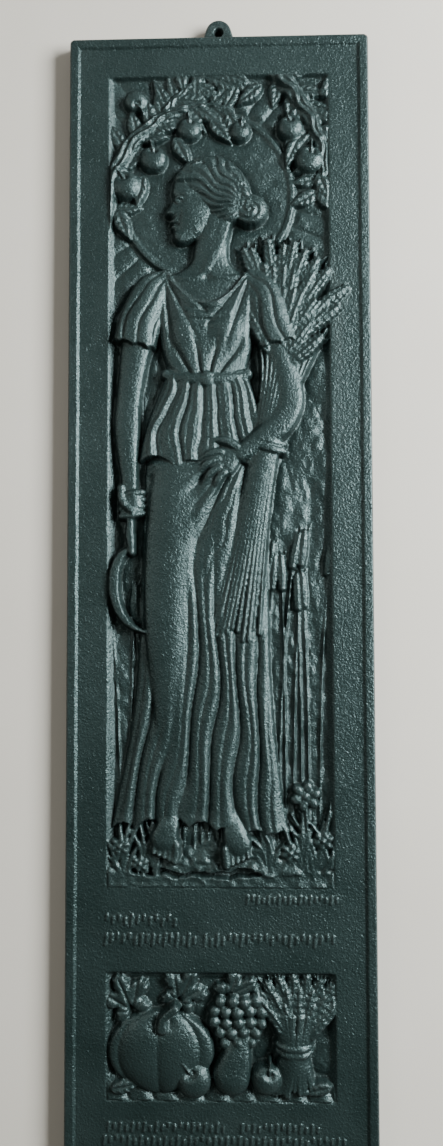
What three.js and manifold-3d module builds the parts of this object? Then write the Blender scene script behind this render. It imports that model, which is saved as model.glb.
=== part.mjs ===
// A tall, narrow cast-iron wall plaque: a flat slab with a raised rim, a hanging lug with a hole at the
// middle of its top edge, and two sunk fields with figures in relief. The tall field shows a woman at
// harvest with a sheaf and a sickle under fruit boughs, the low one a pumpkin, fruit and a small sheaf on
// a cloth. Rows of shallow strokes stand where a title would. It is one casting, so it is one solid.
//
// Millimetres. The relief is drawn as on paper: x to the right, y up, and height out of the back plane.
// One turn at the end stands the plaque up: +Z up, the front towards -Y, the back in the plane Y = 0.
// The origin is on the back, at the middle of the slab's top edge, where the lug joins it.
import * as THREE from "three";
import { mergeVertices } from "three/addons/utils/BufferGeometryUtils.js";
import Module from "manifold-3d";

// ---- driving dimensions -----------------------------------------------------------------------
const WIDTH = 200;
const HEIGHT = 740;
const CORNER = 3; // radius of the slab's corners
const RIM = { width: 7.6, height: 10.4, slope: 2 }; // the raised edge; height above the back
const FACE = 9; // the flat face inside the rim, above the back
const FLOOR = 4.8; // the floor of the sunk fields, above the back
const DRAFT = { top: 1.5, side: 3.6 }; // how far a field's walls lean in; the bottom's as the sides'
const FIELD_WIDTH = 146.7;
const TALL = { top: -26.6, height: 536 }; // the tall field
const LOW = { top: -616.2, height: 80 }; // the low field
// The lug: an arch whose sides lean in from half its foot's width; its top and its hole's middle are
// measured from the slab's top edge, and it goes down into the slab as far as its root.
const LUG = { foot: 10.4, radius: 8.6, top: 12.8, thick: 8.4, hole: 3.1, hole_y: 3.9, root: 3 };
const RELIEF = 0.865; // scale of the relief's heights
const SUNK = (FACE - FLOOR) / RELIEF; // the flat face, in relief units above the floor
const STROKE = { rise: 0.75, width: 2.4, sink: 0.5 };

// ---- small tools --------------------------------------------------------------------------------
const { PI, abs, atan2, ceil, cos, exp, hypot, max, min, sin, sqrt } = Math;
const clamp = (v, low, high) => min(max(v, low), high);
const mix = (a, b, t) => a + (b - a) * t;
const ease = (a, b, v) => {
  const t = clamp((v - a) / (b - a), 0, 1);
  return t * t * (3 - 2 * t);
};
// A fixed scatter of numbers from 0 to 1.
const chance = (seed, i) => {
  const v = sin(i * 12.9898 + seed * 78.233) * 43758.5453;
  return v - Math.floor(v);
};
const soft_max = (a, b, k) => {
  const t = clamp(0.5 + (0.5 * (a - b)) / k, 0, 1);
  return b + (a - b) * t + k * t * (1 - t);
};
const range = (count) => Array.from({ length: count }, (_, i) => i);
// Rounded ridges with narrow valleys, one for each whole number of v; pleats lean over to one side.
const wave = (v, sharp = 0.75) => abs(sin(PI * v)) ** sharp;
const pleat = (v) => wave(v + 0.1 * cos(2 * PI * v), 0.7);
// The index and share at which v lies in the rising list.
const seek = (list, v) => {
  let i = 0;
  while (i < list.length - 2 && v > list[i + 1]) i++;
  return [i, clamp((v - list[i]) / (list[i + 1] - list[i]), 0, 1)];
};

// A Catmull-Rom curve through rows of any width.
function spline(rows, steps = 6, closed = false) {
  const n = rows.length;
  const at = (i) => rows[closed ? (i + n) % n : clamp(i, 0, n - 1)];
  const out = [];
  for (let i = 0; i < (closed ? n : n - 1); i++) {
    const [a, b, c, d] = [at(i - 1), at(i), at(i + 1), at(i + 2)];
    for (let k = 0; k < steps; k++) {
      const t = k / steps;
      out.push(
        b.map(
          (v, j) =>
            0.5 *
            (2 * v +
              (c[j] - a[j]) * t +
              (2 * a[j] - 5 * v + 4 * c[j] - d[j]) * t * t +
              (3 * v - a[j] - 3 * c[j] + d[j]) * t ** 3),
        ),
      );
    }
  }
  if (!closed) out.push(rows[n - 1]);
  return out;
}

// ---- a relief as heights on a grid ---------------------------------------------------------------
class Relief {
  constructor(xs, ys, field_height) {
    this.xs = xs;
    this.ys = ys;
    this.field_height = field_height;
    this.over = false; // true while a form may lap over the frame
    this.heights = new Float64Array(xs.length * ys.length);
  }

  // Calls shape(x, y, height now) inside the box, and keeps the number that it returns.
  paint(x0, x1, y0, y1, shape) {
    const { xs, ys, heights } = this;
    for (let j = 0; j < ys.length; j++) {
      if (ys[j] < y0 || ys[j] > y1) continue;
      for (let i = 0; i < xs.length; i++) {
        if (xs[i] < x0 || xs[i] > x1) continue;
        const inset = min(FIELD_WIDTH / 2 - abs(xs[i]), ys[j], this.field_height - ys[j]);
        if (inset < 0 && !this.over) continue;
        const k = j * xs.length + i;
        const h = shape(xs[i], ys[j], heights[k]);
        if (h === undefined) continue;
        heights[k] = this.over ? h : min(h, SUNK - 0.4 + 2 * inset);
      }
    }
  }

  // A swept form. Rows of x, y, radius and the height of its edge.
  limb(rows, { join = 0.4, flat = 1, fold } = {}) {
    const reach = max(...rows.map((r) => r[2]));
    const bounds = (j) => [min(...rows.map((r) => r[j])) - reach, max(...rows.map((r) => r[j])) + reach];
    this.paint(...bounds(0), ...bounds(1), (x, y, now) => {
      let [best, radius, edge, side] = [1, 0, 0, 0];
      for (let i = 1; i < rows.length; i++) {
        const [a, b] = [rows[i - 1], rows[i]];
        const [dx, dy] = [b[0] - a[0], b[1] - a[1]];
        const length2 = max(dx * dx + dy * dy, 1e-9);
        const t = clamp(((x - a[0]) * dx + (y - a[1]) * dy) / length2, 0, 1);
        const r = mix(a[2], b[2], t);
        const q = hypot(x - a[0] - t * dx, y - a[1] - t * dy) / r;
        if (q >= best) continue;
        [best, radius, edge] = [q, r, mix(a[3], b[3], t)];
        side = ((x - a[0]) * dy - (y - a[1]) * dx) / sqrt(length2) / r;
      }
      if (best >= 1) return undefined;
      const cloth = fold ? fold(side) * min(1, (1 - best) * 4) : 0;
      return soft_max(edge + flat * radius * sqrt(1 - best * best) + cloth, now, join);
    });
  }

  dome(cx, cy, rx, ry, edge, rise, { turn = 0, join = 0.4, ribs } = {}) {
    const reach = max(rx, ry);
    this.paint(cx - reach, cx + reach, cy - reach, cy + reach, (x, y, now) => {
      const u = ((x - cx) * cos(turn) + (y - cy) * sin(turn)) / rx;
      const v = ((y - cy) * cos(turn) - (x - cx) * sin(turn)) / ry;
      const q = u * u + v * v;
      return q < 1 ? soft_max(edge + rise * sqrt(1 - q) + (ribs ? ribs(u, v) : 0), now, join) : undefined;
    });
  }

  // A soft swelling, or a hollow where rise is negative.
  bump(cx, cy, rx, ry, rise) {
    const reach = 2.6 * max(rx, ry);
    this.paint(cx - reach, cx + reach, cy - reach, cy + reach, (x, y, now) => {
      return now + rise * exp(-(((x - cx) / rx) ** 2) - ((y - cy) / ry) ** 2);
    });
  }

  // A closed outline, rising from its edge over soft millimetres.
  puff(outline, edge, rise, soft, join = 0.3) {
    const n = outline.length;
    const bounds = (j) => [min(...outline.map((p) => p[j])), max(...outline.map((p) => p[j]))];
    this.paint(...bounds(0), ...bounds(1), (x, y, now) => {
      let [distance, inside] = [Infinity, false];
      for (let i = 0; i < n; i++) {
        const [a, b] = [outline[i], outline[(i + 1) % n]];
        const [dx, dy] = [b[0] - a[0], b[1] - a[1]];
        const t = clamp(((x - a[0]) * dx + (y - a[1]) * dy) / max(dx * dx + dy * dy, 1e-9), 0, 1);
        distance = min(distance, hypot(x - a[0] - t * dx, y - a[1] - t * dy));
        if (a[1] > y !== b[1] > y && x < a[0] + ((y - a[1]) / dy) * dx) inside = !inside;
      }
      const t = 1 - min(1, distance / soft);
      return inside ? soft_max(edge + rise * sqrt(1 - t * t), now, join) : undefined;
    });
  }

  // A form between two side lines. Rows of y, left x, right x, edge height and rise; fold(s, x, y) adds
  // the folds, and keep(s, x, y) says where the form is.
  sheath(rows, { join = 0.3, fold = () => 0, keep = () => true, lift = 0 } = {}) {
    const line = spline(rows, 6).sort((a, b) => a[0] - b[0]);
    const levels = line.map((r) => r[0]);
    const [low, high] = [levels[0], levels[levels.length - 1]];
    const [left, right] = [min(...line.map((r) => r[1])), max(...line.map((r) => r[2]))];
    this.paint(left, right, low, high, (x, y, now) => {
      const [i, t] = seek(levels, y);
      const [, l, r, edge, rise] = line[i].map((v, j) => mix(v, line[i + 1][j], t));
      const s = (x - l) / (r - l);
      if (s <= 0 || s >= 1 || !keep(s, x, y)) return undefined;
      const q = abs(2 * s - 1);
      const cloth = fold(s, x, y) * clamp((1 - q) * 8, 0, 1);
      return soft_max(edge + lift + rise * sqrt(1 - q * q) + cloth, now, join);
    });
  }
}

// ---- plants and fruit -------------------------------------------------------------------------------
function leaf(f, x, y, angle, length, width, edge, curl = 0) {
  const side = (sign) =>
    range(7).map((i) => {
      const t = i / 6;
      const half = sign * width * 0.5 * sin(PI * t ** 0.8) ** 0.9 || 0;
      const [u, v] = [t * length, curl * length * t * t + (i % 6 ? half : 0)];
      return [x + u * cos(angle) - v * sin(angle), y + u * sin(angle) + v * cos(angle)];
    });
  f.puff([...side(1), ...side(-1).reverse().slice(1, -1)], edge, 1.6, width * 0.33, 0.15);
}

function apple(f, x, y, r, edge, turn) {
  f.dome(x, y, r, r * 0.95, edge, r * 0.62);
  f.bump(x + cos(turn) * r * 0.45, y + sin(turn) * r * 0.45, r * 0.28, r * 0.28, -r * 0.25);
}

function wheat_ear(f, x, y, angle, length, edge, size = 1) {
  const [dx, dy] = [cos(angle) * length, sin(angle) * length];
  const at = (share, r) => [x + dx * share, y + dy * share, r * size, edge];
  f.limb([at(0, 2), at(0.5, 3.6), at(1, 1.4)], { flat: 0.7, join: 0.2 });
}

const BOUGHS = [
  [[-38, 508, 3.8, 1.8], [-28, 522, 3.2, 1.8], [-12, 534, 2.4, 1.6], [6, 541, 1.8, 1.4]],
  [
    [-79, 432, 7, 1.4], [-72, 464, 6.4, 1.8], [-58, 491, 5.6, 2], [-38, 508, 4.6, 2],
    [-14, 516, 3.4, 1.8], [8, 514, 2.2, 1.4],
  ],
  [[34, 545, 7, 1.4], [50, 524, 6.2, 1.8], [63, 502, 5.2, 2], [70, 478, 4, 2], [66, 456, 2.6, 1.6]],
];
const APPLES = [ // x, y, radius, turn of the stalk
  [-62, 462, 10.5, 1.9], [-44, 480, 9.5, 1.5], [-20, 500, 8.5, 1.4], [60, 478, 10, 1.2],
  [48, 500, 9, 1.7], [-56, 520, 8, -1.2], [14, 498, 7.5, 1.2],
];
const LOOSE_LEAVES = [ // x, y, angle
  [-68, 446, -1.3], [-50, 470, -1.9], [-30, 496, -1.2], [54, 494, -2.1],
  [66, 470, -1.3], [-6, 508, -1], [68, 520, 0.9], [30, 530, -2.6],
];

function boughs(f) {
  BOUGHS.forEach((rows, branch) => {
    const line = spline(rows, 7);
    f.limb(line, { flat: 0.9 });
    for (let i = 3; i < line.length; i += 3) {
      const [a, b] = [line[i - 1], line[min(i + 1, line.length - 1)]];
      for (const side of [-1, 1]) {
        const n = 2 * i + side + 100 * branch;
        const angle = atan2(b[1] - a[1], b[0] - a[0]) + side * (0.5 + 0.65 * chance(1, n));
        const [length, width] = [20 + 7 * chance(2, n), 9 + 2.5 * chance(3, n)];
        leaf(f, line[i][0], line[i][1], angle, length, width, 1.6 + 1.8 * chance(4, n), side * 0.16);
      }
    }
  });
  for (const [x, y, r, turn] of APPLES) apple(f, x, y, r, 2.6, turn);
  for (const [x, y, angle] of LOOSE_LEAVES) leaf(f, x, y, angle, 23, 10.5, 3.4, 0.12);
}

function standing_wheat(f) {
  const count = 26;
  for (const i of range(count)) {
    const t = (i + 0.5) / count;
    const x = -71 + 142 * t + 4 * (chance(5, i) - 0.5);
    const top = 150 + 45 * chance(6, i) + 50 * abs(t - 0.5);
    const lean = 16 * (chance(7, i) - 0.5) + 10 * (t - 0.5);
    wheat_ear(f, x + lean, top, PI / 2 - lean * 0.02, 24, 0.6, 0.75);
  }
}

const FLOWERS = [[-65, 26, 7], [-52, 15, 6], [55, 58, 10], [45, 22, 7], [66, 30, 7]]; // x, y, radius
const TUFTS = [-66, -46, 32, 50, 65];

function meadow(f) {
  TUFTS.forEach((middle, tuft) => {
    for (const i of range(9)) {
      const n = 10 * tuft + i;
      const angle = PI / 2 + 1.5 * (chance(8, n) - 0.5);
      const length = 20 + 24 * chance(9, n);
      const [x, y] = [middle + 12 * (chance(10, n) - 0.5), 4 + 12 * chance(11, n)];
      const [dx, dy] = [cos(angle) * length, sin(angle) * length];
      const blade = [[x, y, 2, 2.8], [x + dx * 0.3, y + dy * 0.55, 1.7, 3.2], [x + dx, y + dy, 0.5, 2.2]];
      f.limb(blade, { flat: 0.8 });
    }
  });
  for (const [x, y, r] of FLOWERS) f.dome(x, y, r, r * 0.9, 2.8, 2.2);
}

// ---- the woman ----------------------------------------------------------------------------------------
const MIDDLE = -8; // her middle line
const CHIN = 421;
const HEAD = 58; // head height
const head_point = ([u, v]) => [MIDDLE + 1 - u * HEAD, CHIN + v * HEAD];
// A schoolbook profile that looks left, in head heights forward of the middle and up from the chin.
const PROFILE = [
  [0.3, 0.86], [0.385, 0.76], [0.412, 0.665], [0.42, 0.6], [0.405, 0.548], [0.428, 0.49], [0.468, 0.415],
  [0.5, 0.362], [0.488, 0.335], [0.432, 0.315], [0.446, 0.262], [0.412, 0.226], [0.434, 0.205],
  [0.398, 0.15], [0.405, 0.07], [0.37, 0.02], [0.3, 0], [0.18, 0.035], [0.06, 0.095], [-0.04, 0.19],
  [-0.075, 0.3], [-0.1, 0.45], [-0.05, 0.62], [0.1, 0.8],
];
const HAIR = [
  [0.4, 0.735], [0.34, 0.85], [0.22, 0.965], [0.06, 1.02], [-0.12, 1.02], [-0.29, 0.93], [-0.42, 0.78],
  [-0.48, 0.6], [-0.46, 0.42], [-0.38, 0.28], [-0.22, 0.22], [-0.1, 0.27], [-0.03, 0.34], [0.12, 0.5],
  [0.28, 0.65], [0.36, 0.69],
];

function head(f) {
  f.puff(spline(PROFILE.map(head_point), 3, true), 4.2, 4.8, 11, 0.2);
  const [eye_x, eye_y] = head_point([0.345, 0.5]);
  f.bump(eye_x, eye_y, 3, 3.2, -1.6);
  f.puff(spline(HAIR.map(head_point), 3, true), 5.4, 5.4, 14, 0.2);
  const [knot_x, knot_y] = head_point([-0.46, 0.4]);
  f.dome(knot_x + 1, knot_y - 1, 0.2 * HEAD, 0.185 * HEAD, 5.2, 5.4);
}

const GOWN = [ // y, left x, right x, edge height, rise
  [34, MIDDLE - 63, MIDDLE + 52, 2.4, 3.6], [60, MIDDLE - 58, MIDDLE + 48, 2, 4.6],
  [100, MIDDLE - 50, MIDDLE + 43.5, 1.8, 5.5], [150, MIDDLE - 45, MIDDLE + 40.5, 1.8, 6.2],
  [210, MIDDLE - 43, MIDDLE + 40, 2, 6.4], [262, MIDDLE - 41, MIDDLE + 40, 2.2, 6.6],
  [300, MIDDLE - 38, MIDDLE + 36, 2.2, 6.4], [336, MIDDLE - 28, MIDDLE + 27, 2.2, 5.6],
];
const LEG = [ // the forward thigh, knee and shin under the cloth
  [MIDDLE - 18, 286, 15, 2.8], [MIDDLE - 21, 250, 17, 4.4], [MIDDLE - 24, 218, 16.6, 5.2],
  [MIDDLE - 27, 172, 14, 6.4], [MIDDLE - 25, 128, 11.5, 5.2], [MIDDLE - 22, 80, 9, 3.6],
  [MIDDLE - 21, 40, 8, 2.6],
];
const GATHERED = [MIDDLE + 30, 292]; // where the cloth is held up against the sheaf
const PEPLUM = [ // the fold of the gown over the hips
  [264, MIDDLE - 46, MIDDLE + 45, 3.8, 4.8], [282, MIDDLE - 44, MIDDLE + 43, 3.8, 5],
  [300, MIDDLE - 39.5, MIDDLE + 38.5, 3.6, 5.4], [318, MIDDLE - 33, MIDDLE + 32, 3.4, 5.4],
  [333, MIDDLE - 27, MIDDLE + 26.5, 3.2, 5.4],
];
const SKIN = [ // throat and shoulders
  [366, MIDDLE - 30, MIDDLE + 30, 2.6, 5.2], [384, MIDDLE - 38, MIDDLE + 38, 2.6, 5],
  [394, MIDDLE - 36, MIDDLE + 36, 2.4, 4.4], [400, MIDDLE - 25, MIDDLE + 26, 2.2, 4.2],
  [405, MIDDLE - 15, MIDDLE + 18, 2.4, 4.4], [411, MIDDLE - 10, MIDDLE + 14.5, 2.8, 4.8],
  [420, MIDDLE - 8.5, MIDDLE + 14, 3.2, 5.2], [430, MIDDLE - 6, MIDDLE + 16, 3.4, 5.2],
  [440, MIDDLE - 4, MIDDLE + 18, 3.4, 5],
];
const BODICE = [
  [322, MIDDLE - 29, MIDDLE + 28, 2.8, 5.6], [336, MIDDLE - 26.5, MIDDLE + 26, 3, 5.6],
  [352, MIDDLE - 30.5, MIDDLE + 30, 3, 6.4], [370, MIDDLE - 34.5, MIDDLE + 34, 3, 6.6],
  [386, MIDDLE - 37, MIDDLE + 36.5, 3, 5.8], [396, MIDDLE - 33, MIDDLE + 33, 3, 5.2],
  [402, MIDDLE - 27, MIDDLE + 27, 3, 5],
];
const BELT = [
  [MIDDLE - 27, 333.5, 3.6, 5.4], [MIDDLE - 14, 330.4, 3.6, 8.8], [MIDDLE, 329.4, 3.6, 9.6],
  [MIDDLE + 14, 330.4, 3.6, 8.8], [MIDDLE + 26.5, 333.5, 3.6, 5.4],
];

function skirt(f) {
  f.sheath(GOWN, {
    fold: (s, x, y) => {
      const down = clamp((300 - y) / 260, 0, 1);
      const q = s + 0.018 * sin(y / 31) * (0.4 + down);
      const hanging = 3.4 * pleat(6.5 * q + 0.15) * (0.35 + 0.65 * down);
      const [dx, dy] = [x - GATHERED[0], y - GATHERED[1]];
      const r = hypot(dx, dy);
      const drawn = 3 * pleat(2.9 * atan2(dy, dx)) * ease(8, 42, r);
      return mix(drawn, hanging, ease(55, 150, r)) - 1.8 - 4 * ease(272, 281, y);
    },
    keep: (s, x, y) => y > 35 + 5 * wave(6.5 * s + 0.15, 1) + 4 * sin(s * 5),
  });
  f.limb(spline(LEG, 4), { flat: 0.4, join: 2.6 });
}

function bodice(f) {
  f.sheath(SKIN);
  f.sheath(BODICE, {
    lift: 0.5,
    keep: (s, x, y) => y < 381 + 20 * min(1, abs(x - MIDDLE) / 25) ** 2.2,
    fold: (s, x, y) => {
      const pin = MIDDLE + (x > MIDDLE ? 29 : -29);
      const pinned = pleat((atan2(y - 402, x - pin) * 9 + 0.5) / PI) * ease(342, 366, y);
      return 2 * pinned * (0.4 + 0.6 * min(1, abs(x - MIDDLE) / 20)) - 1;
    },
  });
  for (const side of [-1, 1]) f.bump(MIDDLE + side * 14.5, 362, 11, 11, 3);
}

function peplum(f) {
  f.sheath(PEPLUM, {
    lift: 0.8,
    keep: (s, x, y) => y > 270 + 5 * wave(3.75 * s, 1) + 12 * abs(s - 0.5) ** 1.2,
    fold: (s) => 2.2 * pleat(6.5 * s) - 1.3,
  });
  f.limb(spline(BELT, 3), { flat: 0.4 });
}

function feet(f) {
  for (const [x, y, side, edge] of [[MIDDLE - 24, 34, -1, 6.2], [MIDDLE + 15, 31, 1, 5.8]]) {
    const foot = [
      [x - side, y + 16, 5.6, edge - 3], [x + side * 1.5, y + 6, 7, edge - 0.6],
      [x + side * 4, y - 2.5, 9, edge - 0.6],
    ];
    f.limb(spline(foot, 3), { flat: 0.5 });
    for (const i of range(5)) {
      const r = [3.1, 2.5, 2.3, 2.1, 1.9][i];
      const toe = x + side * (4 + (i - 2) * 3.4);
      f.limb([[toe - side, y - 6, r, edge + 0.4], [toe, y - 16 + 1.3 * i, r, edge]], { flat: 0.9 });
    }
  }
}

// The arm at the viewer's left, and the sickle in its hand.
const SICKLE_ARM = [
  [MIDDLE - 38, 384, 11.5, 3.2], [MIDDLE - 43, 370, 11.6, 3.6], [MIDDLE - 47, 352, 10.2, 3.6],
  [MIDDLE - 50, 332, 8.8, 3.4], [MIDDLE - 52, 316, 8.3, 3.4], [MIDDLE - 53, 300, 8.8, 3.4],
  [MIDDLE - 52.5, 284, 7.6, 3.4], [MIDDLE - 51.5, 266, 5.7, 3.4], [MIDDLE - 51, 257, 5.6, 3.6],
];
const FIST = [MIDDLE - 50.5, 246];
const BLADE_TURN = 3.3;

function sickle_arm(f) {
  const [x, y] = FIST;
  const blade = range(16).map((i) => {
    const t = (i / 15) * BLADE_TURN;
    const share = t / BLADE_TURN;
    return [x + 1 - 13 * sin(t * 0.95) + 12 * share ** 3, y - 28 - 27 * (1 - cos(t * 0.95)),
      0.6 + 3.2 * sin(PI * (0.12 + 0.86 * share)), 5.4 + 3.4 * share ** 2];
  });
  f.limb(blade, { flat: 0.35, join: 0.1 });
  const handle = [
    [x + 1, y + 15, 3.2, 4.2], [x, y - 8, 3, 5.2], [x, y - 20, 3.4, 5.6], [x + 1, y - 30, 2.4, 5.8],
  ];
  f.limb(handle, { flat: 0.8 });
  f.limb(spline(SICKLE_ARM, 4), { flat: 0.62 });
  f.dome(x, y + 2, 8.4, 10.5, 4.6, 4.4);
  for (const i of range(4)) {
    const level = y + 8 - i * 4.5;
    const finger = [
      [x + 7.6, level + 1.4, 2.5, 5], [x + 1, level, 2.9, 6.8], [x - 5.8, level - 0.8, 2.5, 5.4],
    ];
    f.limb(finger, { flat: 0.75 });
  }
}

// The arm at the viewer's right: the upper arm, and the forearm across the sheaf.
const UPPER_ARM = [
  [MIDDLE + 37, 384, 11.5, 3.2], [MIDDLE + 43, 368, 11.6, 3.6], [MIDDLE + 49, 346, 10.2, 4.4],
  [MIDDLE + 53.5, 326, 9.2, 5.4], [MIDDLE + 54, 314, 9.4, 6.4],
];
const FOREARM = [
  [MIDDLE + 52, 330, 8.8, 6.4], [MIDDLE + 54, 316, 9.6, 6.6], [MIDDLE + 50, 304, 9.6, 7],
  [MIDDLE + 41, 294, 8.8, 7.6], [MIDDLE + 29, 285, 6.8, 8.4], [MIDDLE + 22, 280.5, 5.6, 9],
];
const HAND = [MIDDLE + 12, 275];

function forearm(f) {
  const [x, y] = HAND;
  f.limb(spline(FOREARM, 4), { flat: 0.55 });
  f.dome(x + 1, y + 1, 10, 9.5, 8.8, 3, { turn: 0.4 });
  for (const i of range(4)) {
    const angle = ((188 + i * 14) * PI) / 180;
    const [ox, oy] = [x - 3 + [0, -1.4, -0.6, 1.8][i], y + 6 - i * 4.6];
    const length = [14, 16, 15, 12][i];
    const tip = [ox + cos(angle) * length, oy + sin(angle) * length, 2.2, 8.4];
    f.limb([[ox, oy, 2.9, 10], tip], { flat: 0.8 });
  }
  f.limb([[x + 8, y + 8.5, 3.2, 10], [x - 6, y + 14, 2.3, 9.6]], { flat: 0.7 });
}

function sleeve(f, side) {
  const rows = [
    [MIDDLE + side * 30, 396, 7.5, 4.4], [MIDDLE + side * 36.5, 389, 12, 4.2],
    [MIDDLE + side * 42.5, 374, 14.2, 4.6], [MIDDLE + side * 46, 362, 14.4, 5],
  ];
  f.limb(spline(rows, 4), { flat: 0.52, fold: (s) => 1.8 * pleat((s * 4.6 + 0.4) / PI) - 0.8 });
}

const TIE = [31, 287]; // where the sheaf is bound
const STALKS = [
  [8, 168, 17, 4.8], [20, 230, 12, 7.2], [...TIE, 10, 8], [41, 328, 15, 6.2], [48, 360, 23, 4],
];
// Ears from back to front: count, distance out and height. Beyond the field they rise and lap over the rim.
const EARS = [[9, 80, 2.8], [10, 62, 4.4], [9, 45, 6], [6, 30, 7]];
const lap = (x) => 2.2 * ease(48, 78, x);
function sheaf(f) {
  const [x, y] = TIE;
  f.limb(spline(STALKS, 4), { flat: 0.26 });
  for (const [count, distance, lift] of EARS) {
    for (const i of range(count)) {
      const t = ((i + 0.5) / count) * 2 - 1;
      const n = i + 20 * count + distance;
      const angle = ((78 - 36 * t) * PI) / 180 + 0.12 * (chance(12, n) - 0.5);
      const out = 320 + sin(angle) * distance * 0.95 + 6 * (chance(13, n) - 0.5);
      const along = 38 + cos(angle) * distance * 0.42;
      const edge = lift + 1.2 * (1 - t * t) + lap(along + 12);
      wheat_ear(f, along, out, angle - 0.12 * t, 28, edge, 1.12);
    }
  }
  const tie = [[-11, 3.4, 4, 6.6], [-4, -0.4, 4, 10.4], [4, -2.6, 4, 10.4], [11, -4, 4, 6.6]];
  f.limb(tie.map(([u, v, r, edge]) => [x + u, y + v, r, edge]), { flat: 0.4 });
}

const SUN = { y: 455, radius: 60 };
// A bank of earth, and below it a cleft over a low ledge.
function ground(f) {
  f.paint(-FIELD_WIDTH, FIELD_WIDTH, -5, 34, (x, y, now) => {
    const line = 27 + 5 * sin((x + 20) / 24);
    const ledge = 8 + 1.6 * sin((x - 30) / 21);
    const gap = (4.2 + 1.8 * sin(x / 13)) * (1 - ease(28, 50, abs(x + 16))) - 0.6;
    if (y < ledge) return soft_max(4.4, now, 0.3);
    const soil = 4.8 * sqrt(clamp((line - y) / 20, 0, 1));
    return y < line && y > ledge + gap ? soft_max(soil, now, 0.3) : undefined;
  });
}

function tall_relief(f) {
  f.dome(MIDDLE, SUN.y, SUN.radius, SUN.radius, 1.2, 0.2);
  standing_wheat(f);
  boughs(f);
  ground(f);
  feet(f);
  skirt(f);
  bodice(f);
  peplum(f);
  sickle_arm(f);
  f.limb(spline(UPPER_ARM, 4), { flat: 0.6 });
  sleeve(f, -1);
  sleeve(f, 1);
  head(f);
  f.over = true; // the ears lap over the frame
  sheaf(f);
  f.over = false;
  forearm(f);
  meadow(f);
}

// ---- the low field: fruit on a cloth --------------------------------------------------------------------
function grapes(f, x, y, r, edge) {
  [4, 5, 5, 4, 3, 2, 1].forEach((count, row) => {
    for (const i of range(count)) {
      const place = i - (count - 1) / 2;
      const lift = edge + 2.6 * (1 - abs(place / max(1, count / 2)));
      f.dome(x + place * r * 1.72, y - row * r * 1.45, r, r, lift, r * 0.8, { join: 0.1 });
    }
  });
}

function vine_leaf(f, x, y, size, angle, edge) {
  const outline = range(30).map((i) => {
    const t = (i / 30) * 2 * PI;
    const r = size * (0.52 + 0.42 * abs(cos(2.5 * t)) ** 1.2) * (1 - 0.45 * exp(-(((t - PI) / 0.3) ** 2)));
    return [x + r * cos(t + angle), y + r * sin(t + angle)];
  });
  f.puff(outline, edge, 2.4, size * 0.22, 0.15);
}

function pumpkin(f, x, y, rx, ry, edge, rise) {
  const ribs = (u, v) => {
    const round = Math.asin(clamp(u / sqrt(max(1 - v * v, 0.05)), -1, 1));
    return 1.5 * wave((round * 3.6 + 0.2) / PI, 0.6) - 1.1;
  };
  f.dome(x, y, rx, ry, edge, rise, { ribs });
  const top = edge + rise * 0.8;
  const stem = [
    [x + 1, y + ry * 0.62, 3.8, top], [x + 2, y + ry * 0.88, 2.7, top], [x + 9, y + ry * 1.08, 3.2, top],
  ];
  f.limb(stem, { flat: 0.8 });
}

// A small sheaf on its end: straw, the ears fanned out over it, and a tie.
function standing_sheaf(f, x) {
  const straw = [[x - 3, 6, 17, 3.4], [x - 1, 22, 12, 5.2], [x, 33, 10.5, 5.8], [x + 2, 54, 18, 4.4]];
  f.limb(spline(straw, 4), { flat: 0.3 });
  for (const [count, distance, lift] of [[8, 24, 2.4], [7, 15, 4], [5, 7, 5.2]]) {
    for (const i of range(count)) {
      const t = ((i + 0.5) / count) * 2 - 1;
      const angle = ((88 - 42 * t) * PI) / 180;
      const [px, py] = [x + 2 + cos(angle) * distance, 33 + sin(angle) * distance];
      wheat_ear(f, px, py, angle - 0.1 * t, 22, lift, 1.05);
    }
  }
  const tie = [[-11, 34, 3.6, 4.4], [-5, 33, 3.6, 8.2], [5, 33, 3.6, 8.2], [10.5, 34, 3.6, 4.4]];
  f.limb(tie.map(([u, y, r, edge]) => [x + u, y, r, edge]), { flat: 0.4 });
}

const PEAR = [[7, 17, 12.5, 4.4], [10, 28, 9.2, 4.8], [13, 37, 5.6, 5], [14, 42, 4.2, 5]];
function low_relief(f) {
  const hem = (x) => 14 + 3 * sin(x / 17);
  f.paint(-FIELD_WIDTH, FIELD_WIDTH, -5, 18, (x, y, now) => {
    if (y >= hem(x)) return undefined;
    const swag = 2.2 * pleat(9 * (x / FIELD_WIDTH + 0.5) + 0.25 * sin(y / 9));
    return soft_max(2.6 + swag * min(1, (hem(x) - y) / 8), now, 0.5);
  });
  vine_leaf(f, -60, 63, 18, 2, 2);
  vine_leaf(f, -24, 68, 17, 1.1, 1.8);
  vine_leaf(f, 10, 68, 16, 0.5, 1.8);
  standing_sheaf(f, 47);
  pumpkin(f, -38, 31, 34, 26, 2.8, 8.6);
  grapes(f, 11, 62, 4.3, 3);
  f.limb(spline(PEAR, 4), { flat: 0.62 });
  apple(f, -17, 14, 11.5, 5, 1.9);
  apple(f, 29, 15, 10, 5.4, 1.2);
  leaf(f, -71, 8, 0.1, 21, 9.5, 5.4, 0.1);
  leaf(f, 71, 11, 3.3, 19, 9, 5.2, 0.12);
}

// ---- from heights to solids -----------------------------------------------------------------------------
// Rising numbers from the first value of each band to the next, about step apart: [from, step] ... end.
function lines(bands, end) {
  return bands.flatMap(([from, step], i) => {
    const to = i + 1 < bands.length ? bands[i + 1][0] : end;
    const count = ceil((to - from) / step);
    return range(count + (i + 1 === bands.length)).map((k) => from + ((to - from) * k) / count);
  });
}

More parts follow.
